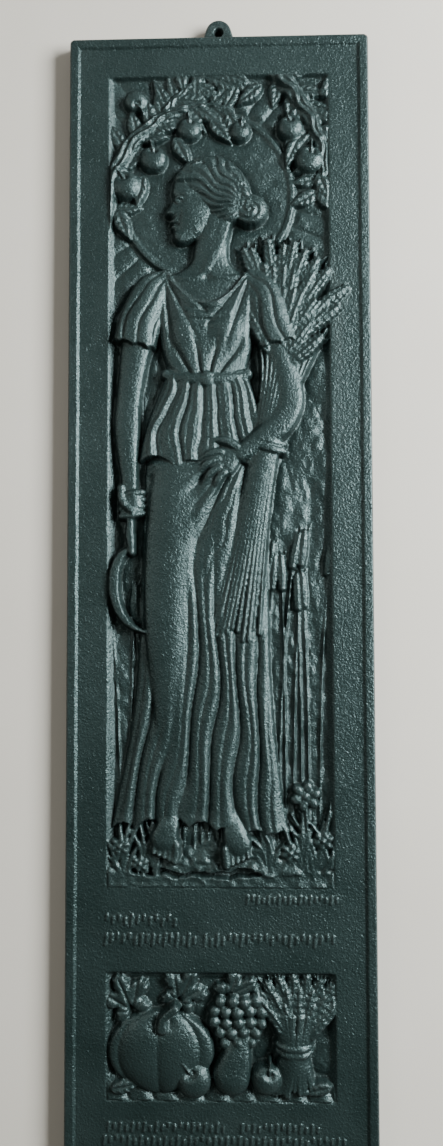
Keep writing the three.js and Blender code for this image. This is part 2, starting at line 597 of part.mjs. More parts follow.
// The relief as a closed block. Heights are drawn SHARE times finer than the block's own lines, and each
// point of the block takes the mean around it.
const SHARE = 3;
function relief_block(draw, field, xs, ys) {
  const finer = (list) => {
    const between = (v, i) => range(SHARE).map((k) => mix(v, list[i + 1], k / SHARE));
    return [...list.slice(0, -1).flatMap(between), list[list.length - 1]];
  };
  const relief = new Relief(finer(xs), finer(ys), field.height);
  draw(relief);
  const height_at = (i, j) => {
    const near = [-1, 0, 1].flatMap((dj) =>
      [-1, 0, 1].map((di) => {
        const [a, b] = [i * SHARE + di, j * SHARE + dj];
        const inside = a >= 0 && b >= 0 && a < relief.xs.length && b < relief.ys.length;
        return inside ? relief.heights[b * relief.xs.length + a] : 0;
      }),
    );
    return FLOOR + RELIEF * (near.reduce((sum, h) => sum + h) / near.length);
  };
  const [nx, ny] = [xs.length, ys.length];
  const position = [];
  const index = [];
  const base = field.top - field.height;
  for (const top of [true, false])
    for (const j of range(ny))
      for (const i of range(nx)) position.push(xs[i], base + ys[j], top ? height_at(i, j) : FLOOR - 2);
  const level = (k) => position[3 * k + 2];
  const bottom = nx * ny;
  const quad = (a, b, c, d) => index.push(a, b, c, a, c, d);
  for (const j of range(ny - 1))
    for (const i of range(nx - 1)) {
      const [a, b, c, d] = [j * nx + i, j * nx + i + 1, (j + 1) * nx + i + 1, (j + 1) * nx + i];
      if (abs(level(a) - level(c)) < abs(level(b) - level(d))) quad(a, b, c, d);
      else quad(b, c, d, a);
      quad(bottom + d, bottom + c, bottom + b, bottom + a);
    }
  const wall = (a, b) => quad(a, b, bottom + b, bottom + a);
  for (const i of range(nx - 1)) {
    wall(i + 1, i);
    wall((ny - 1) * nx + i, (ny - 1) * nx + i + 1);
  }
  for (const j of range(ny - 1)) {
    wall(j * nx, (j + 1) * nx);
    wall((j + 2) * nx - 1, (j + 1) * nx - 1);
  }
  const geometry = new THREE.BufferGeometry();
  geometry.setAttribute("position", new THREE.Float32BufferAttribute(position, 3));
  return geometry.setIndex(index);
}

const wasm = await Module();
wasm.setup();

function solid(geometry) {
  for (const name of ["normal", "uv"]) geometry.deleteAttribute(name);
  const merged = mergeVertices(geometry, 1e-4);
  const vertProperties = merged.attributes.position.array;
  const triVerts = new Uint32Array(merged.index.array);
  return new wasm.Manifold(new wasm.Mesh({ numProp: 3, vertProperties, triVerts }));
}

// A block with its middle at x, y, from height z0 to z1, whose top may be wider than its foot by slope.
function block(width, height, x, y, z0, z1, slope = 0) {
  const box = new THREE.BoxGeometry(width, height, z1 - z0).translate(x, y, (z0 + z1) / 2);
  const p = box.attributes.position;
  for (const i of range(p.count)) {
    if (p.getZ(i) < z1 - 1e-6) continue;
    p.setX(i, p.getX(i) + (p.getX(i) > x ? slope : -slope));
    p.setY(i, p.getY(i) + (p.getY(i) > y ? slope : -slope));
  }
  return solid(box);
}

function plate(shape, depth, curveSegments) {
  return solid(new THREE.ExtrudeGeometry(shape, { depth, bevelEnabled: false, curveSegments }));
}

function rounded_slab() {
  const [x, y, r] = [WIDTH / 2, HEIGHT, CORNER];
  const shape = new THREE.Shape();
  shape.absarc(x - r, -r, r, 0, PI / 2).absarc(r - x, -r, r, PI / 2, PI);
  shape.absarc(r - x, r - y, r, PI, 1.5 * PI).absarc(x - r, r - y, r, 1.5 * PI, 2 * PI);
  return plate(shape, RIM.height, 3);
}

function field_cut({ top, height }) {
  const reach = 4; // past the face, with the walls' slope kept
  const depth = FACE - FLOOR;
  const box = new THREE.BoxGeometry(FIELD_WIDTH, height, depth + reach);
  const p = box.attributes.position;
  for (const i of range(p.count)) {
    const lean = p.getZ(i) < 0 ? 1 : -reach / depth;
    p.setX(i, p.getX(i) - Math.sign(p.getX(i)) * DRAFT.side * lean);
    p.setY(i, p.getY(i) + (p.getY(i) > 0 ? -DRAFT.top : DRAFT.side) * lean);
  }
  return solid(box.translate(0, top - height / 2, FLOOR + (depth + reach) / 2));
}

function lug() {
  const { foot, radius, top, thick, hole, hole_y, root } = LUG;
  const centre = top - radius;
  // The angle on the arch where a side meets it.
  const start = atan2(-centre, foot) + Math.acos(radius / hypot(foot, centre));
  const [x, y] = [radius * cos(start), centre + radius * sin(start)];
  const wide = foot + (root * (foot - x)) / y;
  const shape = new THREE.Shape();
  shape.moveTo(wide, -root).lineTo(x, y);
  shape.absarc(0, centre, radius, start, PI - start, false).lineTo(-wide, -root);
  const bore = new THREE.CylinderGeometry(hole, hole, 3 * thick, 20).rotateX(PI / 2);
  return [plate(shape, thick, 10), solid(bore.translate(0, hole_y, 0))];
}

// Rows of shallow strokes: the row's level below the top edge, stroke height, start, end and step.
const ROWS = [
  { y: -569.8, size: 6.8, from: 14, to: 74.6, step: 6.7 },
  { y: -583.4, size: 9.4, from: -77, to: -29, step: 8 },
  { y: -595.3, size: 9.4, from: -77.4, to: -16.5, step: 7.6 },
  { y: -595.3, size: 9.4, from: -13.8, to: 72.2, step: 7.8 },
  { y: -711.9, size: 7.2, from: -75.4, to: 1.8, step: 7.7 },
  { y: -711.9, size: 7.2, from: 9.6, to: 61.6, step: 7.4 },
  { y: -720.2, size: 7.4, from: -78, to: 78.2, step: 7.8 },
];
function strokes() {
  return ROWS.flatMap(({ y, size, from, to, step }, row) =>
    range(Math.floor((to - from) / step)).map((i) => {
      const tall = chance(14, i + 40 * row) < 0.3 ? size * 0.55 : size;
      const x = from + (i + 0.5) * step;
      const middle = y + (size - tall) / 2;
      return block(STROKE.width, tall, x, middle, FACE - STROKE.sink, FACE + STROKE.rise, -0.3);
    }),
  );
}

// Closer lines at the head and the body than in the skirt and at the sides.
const TALL_LINES = lines(
  [[-3, 3], [0, 6.5], [40, 12], [220, 5.2], [240, 4.75], [405, 3.2], [478, 6], [TALL.height, 3]],
  TALL.height + 3,
);
const LOW_LINES = lines([[-3, 3], [0, 5.1], [LOW.height, 3]], LOW.height + 3);
const across = (end) =>
  lines([[-FIELD_WIDTH / 2 - 3, 3], [-FIELD_WIDTH / 2, 4.8], [-42, 3.7], [24, 4.75]], end);

function casting() {
  const [ear, bore] = lug();
  const tray = block(
    WIDTH - 2 * RIM.width, HEIGHT - 2 * RIM.width, 0, -HEIGHT / 2,
    FACE, RIM.height + 2, (RIM.slope * (RIM.height + 2 - FACE)) / (RIM.height - FACE),
  );
  let made = rounded_slab().subtract(tray).add(ear);
  for (const field of [TALL, LOW]) made = made.subtract(field_cut(field));
  const tall = relief_block(tall_relief, TALL, across(91), TALL_LINES);
  const low = relief_block(low_relief, LOW, across(FIELD_WIDTH / 2 + 3), LOW_LINES);
  for (const piece of [solid(tall), solid(low), ...strokes()]) made = made.add(piece);
  return made.subtract(bore);
}

function mesh_of(made, name, material) {
  const { vertProperties, triVerts } = made.getMesh();
  const geometry = new THREE.BufferGeometry();
  geometry.setAttribute("position", new THREE.BufferAttribute(vertProperties, 3));
  geometry.setIndex(new THREE.BufferAttribute(triVerts, 1));
  geometry.computeVertexNormals();
  const mesh = new THREE.Mesh(geometry, material);
  mesh.name = name;
  return mesh;
}

const black_iron = new THREE.MeshStandardMaterial({ color: 0x18221f, roughness: 0.38, metalness: 0.35 });
const plaque = new THREE.Group();
plaque.add(mesh_of(casting(), "plaque", black_iron));
plaque.rotation.x = PI / 2;

export default plaque;
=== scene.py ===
"""A cast-iron wall plaque in satin black paint, with two sunk fields of relief.

The casting is one closed mesh. Its front is drawn as heights above the back plane, on a fine grid:
x to the right, y up from the slab's top edge, in millimetres. The finished mesh is in metres in the
part's frame: +Z up, the front towards -Y, the back in the plane Y = 0.
"""

import math
from math import cos, pi, radians, sin

import bpy
import numpy as np
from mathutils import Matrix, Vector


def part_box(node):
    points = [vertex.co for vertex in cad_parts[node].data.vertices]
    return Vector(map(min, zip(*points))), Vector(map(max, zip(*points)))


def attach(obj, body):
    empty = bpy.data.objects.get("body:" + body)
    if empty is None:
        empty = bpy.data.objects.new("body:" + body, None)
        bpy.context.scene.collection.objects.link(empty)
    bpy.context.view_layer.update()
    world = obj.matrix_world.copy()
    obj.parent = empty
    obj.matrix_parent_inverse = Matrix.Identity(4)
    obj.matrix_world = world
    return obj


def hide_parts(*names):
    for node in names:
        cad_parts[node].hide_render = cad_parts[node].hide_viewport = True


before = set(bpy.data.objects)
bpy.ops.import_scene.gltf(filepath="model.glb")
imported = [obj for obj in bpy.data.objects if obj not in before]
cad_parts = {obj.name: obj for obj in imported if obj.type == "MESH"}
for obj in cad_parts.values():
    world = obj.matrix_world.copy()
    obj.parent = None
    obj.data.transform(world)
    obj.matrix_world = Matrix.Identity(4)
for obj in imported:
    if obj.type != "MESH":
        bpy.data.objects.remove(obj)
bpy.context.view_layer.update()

# ---- driving dimensions, in millimetres ----
MM = 0.001
low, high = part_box("plaque")
WIDTH = (high.x - low.x) / MM
HEIGHT = -low.z / MM
HIGHEST = -low.y / MM  # the relief's highest point above the back
LUG_TOP = high.z / MM
CELL = 0.65  # spacing of the grid
TRIANGLES = 186000  # in the casting, without its lug
CORNER = 3.0
ROUNDING = 1.4  # of the rim's outer edge
CHAMFER = 0.5  # of the back's edge
RIM_WIDTH = 7.6
RIM_HEIGHT = 10.4
RIM_SLOPE = 2.0
FACE = 9.0  # the flat face inside the rim
FLOOR = 4.8  # the floor of the sunk fields
UNDERCUT = 1.2  # how far a field is cut below its floor, for the relief's ground to fill
TOP_LEAN = 1.5  # how far in a field's top wall leans
SIDE_LEAN = 4.1  # and its sides and bottom
WALL_SOFTNESS = 0.15  # of the walls' upper edges
FIELD_CORNER = 1.5
FIELD_SIDE = 146.7 / 2  # from the middle line
TALL_FIELD = (-26.6, 536.0)  # top and height
LOW_FIELD = (-616.2, 80.0)
RELIEF = 0.865  # scale of the relief's heights
SUNK = (FACE - FLOOR) / RELIEF  # the flat face, in relief units above the floor
BESIDE_WALL = {"drop": 0.4, "slope": 2}  # keeps forms below the face at a field's edge
SOFTENED = 0.6  # blur of the whole relief, in cells
CUT_IN = {"share": 0.5, "reach": 5, "down": -2.6, "up": 1.6}  # the ground beside each form
ROUNDED_OFF = {"below": 0.1, "over": 1.3}  # the highest forms, under HIGHEST
SHARP_ANGLE = 62  # in degrees; steeper edges aren't shaded smooth
STROKE = {"rise": 0.72, "width": 2.3, "lean": 0.12}
ABSENT = -50.0  # a height where a form isn't


# ---- small tools ----
def unit(v):
    """Held between 0 and 1."""
    return np.clip(v, 0, 1)


def ease(a, b, v):
    t = unit((v - a) / (b - a))
    return t * t * (3 - 2 * t)


def chance(seed, i):
    """A fixed scatter of numbers from 0 to 1."""
    v = sin(i * 12.9898 + seed * 78.233) * 43758.5453
    return v - math.floor(v)


def soft_max(a, b, k):
    t = unit(0.5 + 0.5 * (a - b) / k)
    return b + (a - b) * t + k * t * (1 - t)


def spline(rows, steps=6, closed=False):
    """A Catmull-Rom curve through rows of any width."""
    p = np.asarray(rows, float)
    p = np.r_[p[-1:], p, p[:2]] if closed else np.r_[p[:1], p, p[-1:]]
    out = []
    for a, b, c, d in zip(p, p[1:], p[2:], p[3:]):
        for t in np.arange(steps) / steps:
            out.append(0.5 * (2 * b + (c - a) * t + (2 * a - 5 * b + 4 * c - d) * t * t
                              + (3 * b - a - 3 * c + d) * t ** 3))
    if not closed:
        out.append(p[-1])
    return np.array(out)


def noise(x, y, cell, seed):
    """Smooth noise from -1 to 1, with features about one cell across."""
    table = np.random.default_rng(seed).uniform(-1, 1, (257, 257))
    u, v = x / cell + 1000, y / cell + 1000
    iu, iv = np.floor(u).astype(int), np.floor(v).astype(int)
    fu, fv = ease(0, 1, u - iu), ease(0, 1, v - iv)
    at = lambda i, j: table[(iu + i) % 257, (iv + j) % 257]
    near = at(0, 0) * (1 - fu) + at(1, 0) * fu
    far = at(0, 1) * (1 - fu) + at(1, 1) * fu
    return near * (1 - fv) + far * fv


def blur(a, sigma):
    """A Gaussian blur, with the edge values held."""
    n = math.ceil(2.5 * sigma)
    weights = np.exp(-0.5 * (np.arange(-n, n + 1) / sigma) ** 2)
    weights /= weights.sum()
    for _ in range(2):  # down its columns, then along its rows
        padded = np.pad(a, ((n, n), (0, 0)), mode="edge")
        a = sum(w * padded[i:i + len(a)] for i, w in enumerate(weights)).T
    return a


def wave(v, sharp=1):
    """Rounded ridges with narrow valleys, one for each whole number of v."""
    return np.abs(np.sin(pi * v)) ** sharp


def pleat(v):
    """Ridges that lean over to one side, with a sharp line under each."""
    return wave(v + 0.1 * np.cos(2 * pi * v), 0.7)


def polar(x, y):
    return np.hypot(x, y), np.arctan2(y, x)


def turned(x, y, angle):
    """x and y as seen along a direction and across it."""
    return x * cos(angle) + y * sin(angle), y * cos(angle) - x * sin(angle)


def fan(count):
    """Numbered places from -1 to 1."""
    return [(i, (i + 0.5) / count * 2 - 1) for i in range(count)]


def from_segment(X, Y, a, d):
    """How far along the segment from a by d each point lies, from 0 to 1, and its distance from it."""
    t = unit(((X - a[0]) * d[0] + (Y - a[1]) * d[1]) / max(d[0] ** 2 + d[1] ** 2, 1e-9))
    return t, np.hypot(X - a[0] - t * d[0], Y - a[1] - t * d[1])


# ---- a relief as heights on a grid ----
class Relief:
    """Heights above the floor of a sunk field, by x from its middle line and y up from its foot."""

    def __init__(self, xs, ys, height):
        self.xs, self.ys, self.height = xs, ys, height
        self.X, self.Y = np.meshgrid(xs, ys)
        self.heights = np.zeros(self.X.shape)
        self.over = False  # true while a form may lap over the frame

    def window(self, x0, x1, y0, y1):
        """A part of the grid, with its x and y."""
        i0, i1 = np.searchsorted(self.xs, [x0, x1])
        j0, j1 = np.searchsorted(self.ys, [y0, y1])
        part = (slice(j0, j1), slice(i0, i1))
        return part, self.X[part], self.Y[part]

    def strip(self, top):
        """The field's whole width, from its foot to top."""
        return self.window(-FIELD_SIDE, FIELD_SIDE, 0, top)

    def around(self, rows, reach):
        (x0, y0), (x1, y1) = np.min(rows, 0)[:2] - reach, np.max(rows, 0)[:2] + reach
        return self.window(x0, x1, y0, y1)

    def oval(self, cx, cy, rx, ry, turn, reach=1.0):
        """The part around an oval, with the oval's own axes as u and v."""
        out = reach * max(rx, ry)
        part, X, Y = self.window(cx - out, cx + out, cy - out, cy + out)
        u, v = turned(X - cx, Y - cy, turn)
        return part, u / rx, v / ry

    def put(self, part, h, shown, join):
        """Raises the relief to h where a form is shown, with a soft join, and low beside the walls."""
        if not self.over:
            X, Y = self.X[part], self.Y[part]
            inset = np.minimum(np.minimum(FIELD_SIDE - np.abs(X), Y), self.height - Y)
            h = np.minimum(h, SUNK - BESIDE_WALL["drop"] + BESIDE_WALL["slope"] * inset)
            shown = shown & (inset > 0)
        h = np.where(shown, h, ABSENT)
        old = self.heights[part]
        self.heights[part] = soft_max(h, old, join) if join else np.maximum(h, old)

    def add(self, part, h):
        self.heights[part] += np.where(np.abs(self.X[part]) < FIELD_SIDE, h, 0)

    def limb(self, rows, steps=0, at=(0, 0), join=0.2, flat=1.0, texture=None, even=False, keep=None):
        """A swept form. Rows of x, y, radius and the height of its edge, from a point, are joined by a
        curve in so many steps or by straight lines. texture(side, along, X, Y) adds to it, even smooths
        the sweep where it bends, and keep(X, Y) says where it is."""
        p = np.asarray(rows, float) + [*at, 0, 0]
        if steps:
            p = spline(p, steps)
        part, X, Y = self.around(p, p[:, 2].max())
        if not X.size:
            return
        moves = np.diff(p, axis=0)
        spans = np.hypot(moves[:, 0], moves[:, 1])
        length = np.r_[0, np.cumsum(spans)]
        best = np.full(X.shape, 9.0)
        along = np.zeros_like(X)
        side = np.zeros_like(X)
        for a, d, start, span in zip(p, moves, length, spans):
            t, distance = from_segment(X, Y, a, d)
            radius = a[2] + t * d[2]
            nearer = distance / radius < best
            best[nearer] = (distance / radius)[nearer]
            along[nearer] = (start + t * span)[nearer]
            across = ((X - a[0]) * d[1] - (Y - a[1]) * d[0]) / max(span, 1e-6) / radius
            side[nearer] = across[nearer]
        if even:
            along = blur(along, max(1.0, 0.8 * length[-1] / (len(p) - 1) / CELL))
            best = np.hypot(*(v - np.interp(along, length, p[:, i]) for i, v in enumerate((X, Y))))
            best /= np.interp(along, length, p[:, 2])
        radius, edge = (np.interp(along, length, p[:, i]) for i in (2, 3))
        h = edge + flat * radius * np.sqrt(unit(1 - best ** 2))
        if texture:
            h += texture(side, along / length[-1], X, Y) * unit((1 - best) * 4)
        shown = best < 1
        if keep:
            shown &= keep(X, Y)
        self.put(part, h, shown, join)

    def dome(self, cx, cy, rx, ry, edge, rise, turn=0.0, join=0.2, texture=None):
        part, u, v = self.oval(cx, cy, rx, ry, turn)
        q = u * u + v * v
        h = edge + rise * np.sqrt(unit(1 - q))
        if texture:
            h += texture(u, v)
        self.put(part, h, q < 1, join)

    def bump(self, cx, cy, rx, ry, rise, turn=0.0):
        """A soft swelling, or a hollow where rise is negative."""
        part, u, v = self.oval(cx, cy, rx, ry, turn, reach=2.6)
        self.add(part, rise * np.exp(-u * u - v * v))

    def groove(self, rows, depth):
        """A soft groove. Rows of x, y and half width."""
        p = np.asarray(rows, float)
        part, X, Y = self.around(p, 2.5 * p[:, 2].max())
        best = np.full(X.shape, 9.0)
        for a, d in zip(p, np.diff(p, axis=0)):
            t, distance = from_segment(X, Y, a, d)
            best = np.minimum(best, distance / (a[2] + t * d[2]))
        self.add(part, -depth * np.exp(-best ** 2))

    def puff(self, outline, edge, rise, soft, join=0.2, texture=None):
        """A closed outline, rising from its edge over soft millimetres."""
        p = np.asarray(outline, float)
        part, X, Y = self.around(p, 0)
        if not X.size:
            return
        distance = np.full(X.shape, float(soft))
        inside = np.zeros(X.shape, bool)
        for a, b in zip(p, np.roll(p, -1, 0)):
            d = b - a
            distance = np.minimum(distance, from_segment(X, Y, a, d)[1])
            if d[1]:
                crossed = (a[1] > Y) != (b[1] > Y)
                inside ^= crossed & (X < a[0] + (Y - a[1]) / d[1] * d[0])
        t = 1 - distance / soft
        h = edge + rise * np.sqrt(1 - t * t)
        if texture:
            h += texture(X, Y)
        self.put(part, h, inside, join)

    def sheath(self, middle, rows, fold=None, keep=None, lift=0.0, also=None):
        """A form between two side lines. Rows of y, left and right of a middle line, edge height and
        rise. fold(s, X, Y) adds folds, keep(s, X, Y) says where it is, and also(part, h) reshapes it."""
        line = spline(np.asarray(rows, float) + [0, middle, middle, 0, 0], 10)
        line = line[np.argsort(line[:, 0])]
        part, X, Y = self.window(line[:, 1].min(), line[:, 2].max(), line[0, 0], line[-1, 0])
        left, right, edge, rise = (np.interp(Y, line[:, 0], line[:, i]) for i in (1, 2, 3, 4))
        s = (X - left) / (right - left)
        q = unit(np.abs(2 * s - 1))
        h = edge + lift + rise * np.sqrt(1 - q ** 2)
        if fold:
            h += fold(s, X, Y) * unit((1 - q) * 8)
        if also:
            h = also(part, h)
        shown = (s > 0) & (s < 1)
        if keep:
            shown &= keep(s, X, Y)
        self.put(part, h, shown, 0.3)


# ---- plants and fruit ----
def leaf(f, x, y, angle, length, width, edge, curl=0.0, rise=1.6):
    t = np.linspace(0, 1, 9)
    half = width * 0.5 * unit(np.sin(pi * t ** 0.8)) ** 0.9
    middle = curl * length * t * t
    u = np.r_[t, t[-2:0:-1]] * length
    v = np.r_[middle + half, (middle - half)[-2:0:-1]]
    outline = np.c_[x + u * cos(angle) - v * sin(angle), y + u * sin(angle) + v * cos(angle)]

    def veins(X, Y):
        along, across = turned(X - x, Y - y, angle)
        across = across - curl * along ** 2 / length
        side_veins = np.sin((along - np.abs(across) * 0.9) * 1.5) * unit(np.abs(across) / 2)
        return 0.28 * side_veins - 0.7 * np.exp(-(across / 0.7) ** 2)

    f.puff(outline, edge, rise, width * 0.33, 0.15, veins)


def apple(f, x, y, r, edge, turn):
    f.dome(x, y, r, r * 0.95, edge, r * 0.62, join=0.3)
    cx, cy = x + cos(turn) * r * 0.45, y + sin(turn) * r * 0.45
    f.bump(cx, cy, r * 0.28, r * 0.2, -r * 0.28, turn + pi / 2)
    tip = (cos(turn + 0.3) * r * 0.8, sin(turn + 0.3) * r * 0.8, 0.7, edge + r * 0.5)
    f.limb([(0, 0, 0.9, edge + r * 0.38), tip], at=(cx, cy))


def wheat_ear(f, x, y, angle, length, edge, size):
    """Two rows of grains with a middle one, and awns behind them."""
    c, s = cos(angle), sin(angle)
    count = max(3, int(length / (3.3 * size)))
    for side in (-1, 1):
        spread = angle + side * 0.25
        for i in range(2, count + 1, 2):
            t = i / count * length * 0.9
            start = (x + c * t - s * side * 1.6 * size, y + s * t + c * side * 1.6 * size)
            tip = (cos(spread) * 9 * size, sin(spread) * 9 * size, 0.35, edge)
            f.limb([(0, 0, 0.6, edge), tip], at=start, join=0.1, flat=1.2)
    for i in range(count):
        t = (i + 0.5) / count
        w = (0.6 + 0.7 * sin(pi * min(1, t * 0.85 + 0.15))) * size
        for side in (-1, 1):
            off = 1.75 * w * side
            px, py = x + c * t * length - s * off, y + s * t * length + c * off
            f.dome(px, py, 2.9 * w, 1.6 * w, edge, 1.9 * w, angle + side * 0.42, join=0.15)
        middle = t * length + 1
        f.dome(x + c * middle, y + s * middle, 2.8 * w, 1.4 * w, edge + 0.7, 1.6 * w, angle, join=0.15)


BOUGHS = (
    ((-38, 508, 3.8, 1.8), (-28, 522, 3.2, 1.8), (-12, 534, 2.4, 1.6), (6, 541, 1.8, 1.4)),
    ((-79, 432, 7, 1.4), (-72, 464, 6.4, 1.8), (-58, 491, 5.6, 2), (-38, 508, 4.6, 2),
     (-14, 516, 3.4, 1.8), (8, 514, 2.2, 1.4)),
    ((34, 545, 7, 1.4), (50, 524, 6.2, 1.8), (63, 502, 5.2, 2), (70, 478, 4, 2), (66, 456, 2.6, 1.6)),
)
APPLES = (  # x, y, radius, turn of the stalk
    (-62, 462, 10.5, 1.9), (-44, 480, 9.5, 1.5), (-20, 500, 8.5, 1.4), (60, 478, 10, 1.2),
    (48, 500, 9, 1.7), (-56, 520, 8, -1.2), (14, 498, 7.5, 1.2),
)
LOOSE_LEAVES = (  # x, y, angle
    (-68, 446, -1.3), (-50, 470, -1.9), (-30, 496, -1.2), (54, 494, -2.1),
    (66, 470, -1.3), (-6, 508, -1), (68, 520, 0.9), (30, 530, -2.6),
)


def bark(side, along, X, Y):
    return 0.6 * np.sin(side * 8 + 2 * np.sin(along * 30)) + 0.7 * noise(X, Y, 4, 61)


def boughs(f):
    for branch, rows in enumerate(BOUGHS):
        line = spline(rows, 7)
        f.limb(line, join=0.4, flat=0.9, texture=bark)
        for i in range(3, len(line), 3):
            d = line[min(i + 1, len(line) - 1)] - line[i - 1]
            for side in (-1, 1):
                n = 2 * i + side + 100 * branch
                angle = math.atan2(d[1], d[0]) + side * (0.5 + 0.65 * chance(1, n))
                length, width = 20 + 7 * chance(2, n), 9 + 2.5 * chance(3, n)
                edge = 1.6 + 1.8 * chance(4, n)
                leaf(f, *line[i][:2], angle, length, width, edge, side * 0.16)
    for x, y, r, turn in APPLES:
        apple(f, x, y, r, 2.6, turn)
    for x, y, angle in LOOSE_LEAVES:
        leaf(f, x, y, angle, 23, 10.5, 3.4, 0.12)


def standing_wheat(f):
    count = 26
    for i in range(count):
        t = (i + 0.5) / count
        x = -71 + 142 * t + 4 * (chance(5, i) - 0.5)
        top = 150 + 45 * chance(6, i) + 50 * abs(t - 0.5)
        lean = 16 * (chance(7, i) - 0.5) + 10 * (t - 0.5)
        stem = [(0, 18, 0.8, 0), (lean * 0.3, top * 0.6, 0.8, 0.1), (lean, top, 0.7, 0.3)]
        f.limb(stem, 6, (x, 0), flat=1.5)
        wheat_ear(f, x + lean, top, pi / 2 - lean * 0.02, 24, 0.6, 0.75)


FLOWERS = ((-65, 26, 7), (-52, 15, 6), (55, 58, 10), (45, 22, 7), (66, 30, 7))  # x, y, radius
TUFTS = (-66, -46, 32, 50, 65)


def meadow(f):
    for tuft, middle in enumerate(TUFTS):
        for i in range(9):
            n = 10 * tuft + i
            angle = pi / 2 + 1.5 * (chance(8, n) - 0.5)
            length = 20 + 24 * chance(9, n)
            x, y = middle + 12 * (chance(10, n) - 0.5), 4 + 12 * chance(11, n)
            dx, dy = cos(angle) * length, sin(angle) * length
            blade = [(0, 0, 2, 2.8), (dx * 0.3, dy * 0.55, 1.7, 3.2), (dx, dy, 0.5, 2.2)]
            f.limb(blade, 5, (x, y), flat=0.8)
    for x, y, r in FLOWERS:
        f.limb([(x + 2, 8, 1.4, 2.6), (x, y, 1.3, 3.2)])
        for i in range(6):
            turn = i * pi / 3 + 0.3
            petal = (x + cos(turn) * r * 0.55, y + sin(turn) * r * 0.5)
            f.dome(*petal, r * 0.5, r * 0.36, 3, 2.4, turn, join=0.15)
        f.dome(x, y, r * 0.28, r * 0.28, 4.4, 1.6)


# ---- the woman ----
MIDDLE = -8.0  # her middle line
HER = (MIDDLE, 0)  # where the rows of her arms and legs start from
CHIN = 421.0
HEAD = 58.0  # head height


def head_point(u, v):
    """u head heights forward of the middle, as she looks left, and v up from the chin."""
    return MIDDLE + 1 - u * HEAD, CHIN + v * HEAD


# A schoolbook profile: brow, nose, lips, chin, jaw and throat, then back behind the ear.
PROFILE = (
    (0.3, 0.86), (0.385, 0.76), (0.412, 0.665), (0.42, 0.6), (0.405, 0.548), (0.428, 0.49),
    (0.468, 0.415), (0.5, 0.362), (0.488, 0.335), (0.432, 0.315), (0.424, 0.292), (0.446, 0.262),
    (0.44, 0.24), (0.412, 0.226), (0.434, 0.205), (0.432, 0.18), (0.398, 0.15), (0.402, 0.11),
    (0.405, 0.07), (0.37, 0.02), (0.3, 0), (0.18, 0.035), (0.06, 0.095), (-0.04, 0.19), (-0.075, 0.3),
    (-0.1, 0.45), (-0.05, 0.62), (0.1, 0.8),
)
FEATURES = (  # forward, up, half width, half height, rise, turn
    (0.2, 0.33, 0.13, 0.12, 1.1, 0),  # cheek
    (0.345, 0.5, 0.05, 0.055, -1.9, 0),  # eye socket
    (0.3, 0.565, 0.1, 0.026, 0.8, 0.18),  # brow
    (0.425, 0.345, 0.025, 0.022, 0.7, 0),  # nostril
    (0.395, 0.318, 0.03, 0.012, -0.7, 0),
    (0.385, 0.226, 0.045, 0.009, -1.0, 0),  # between the lips
    (0.352, 0.215, 0.018, 0.03, -0.6, 0),
    (0.395, 0.105, 0.05, 0.045, 0.7, 0),  # chin
    (0.33, 0.3, 0.02, 0.07, -0.5, -0.3),
    (0.1, 0.13, 0.12, 0.05, 0.6, -0.4),  # jaw
)
LIDS = (  # forward, up, radius, edge height
    ((0.385, 0.498, 0.6, 7.9), (0.35, 0.527, 0.8, 8.6), (0.3, 0.518, 0.8, 8.5), (0.262, 0.49, 0.5, 7.9)),
    ((0.38, 0.487, 0.4, 7.6), (0.34, 0.462, 0.6, 8), (0.295, 0.468, 0.6, 8), (0.262, 0.488, 0.4, 7.7)),
)
HAIR = (
    (0.4, 0.735), (0.34, 0.85), (0.22, 0.965), (0.06, 1.02), (-0.12, 1.02), (-0.29, 0.93), (-0.42, 0.78),
    (-0.48, 0.6), (-0.46, 0.42), (-0.38, 0.28), (-0.22, 0.22), (-0.1, 0.27), (-0.03, 0.34), (0.05, 0.42),
    (0.12, 0.5), (0.19, 0.58), (0.28, 0.65), (0.36, 0.69),
)
WREATH = ((0.375, 0.77), (0.24, 0.83), (0.06, 0.84), (-0.14, 0.79), (-0.3, 0.66), (-0.38, 0.52))


def face(f):
    f.puff(spline([head_point(*p) for p in PROFILE], 5, closed=True), 4.2, 4.8, 11)
    for u, v, wide, tall, rise, turn in FEATURES:
        f.bump(*head_point(u, v), wide * HEAD, tall * HEAD, rise, turn)
    f.dome(*head_point(0.335, 0.492), 0.042 * HEAD, 0.03 * HEAD, 6.7, 1.6, join=0.3)
    for lid in LIDS:
        f.limb([(*head_point(u, v), r, edge) for u, v, r, edge in lid], 5)


def hair(f):
    """Combed back under a wreath of leaves to a knot at the nape."""
    kx, ky = head_point(-0.46, 0.4)

    def strands(X, Y):
        r, turn = polar(X - kx, Y - ky)
        phase = turn * 17 + 0.9 * np.sin(r / 4.2 + turn * 2) + 0.8 * noise(X, Y, 9, 4)
        return 1.25 * wave(phase / pi, 0.65) + 0.35 * wave(phase * 2.7 / pi) - 0.6

    def coil(u, v):
        r, turn = polar(u, v)
        return 1.1 * wave((turn + r * 7.5) / pi, 0.6) + 0.3 * wave((turn * 3 + r * 22) / pi) - 0.5

    f.puff(spline([head_point(*p) for p in HAIR], 5, closed=True), 5.4, 5.2, 14, texture=strands)
    f.dome(kx + 1, ky - 1, 0.2 * HEAD, 0.185 * HEAD, 5.2, 5.0, texture=coil)
    line = spline([head_point(*p) for p in WREATH], 5)
    for i in range(6, len(line) - 1, 3):
        ahead = line[i + 1] - line[i]
        for side in (-1, 1):
            leaf(f, *line[i], math.atan2(ahead[1], ahead[0]) + side * 0.5, 10.5, 4.8, 9.6, rise=1.3)


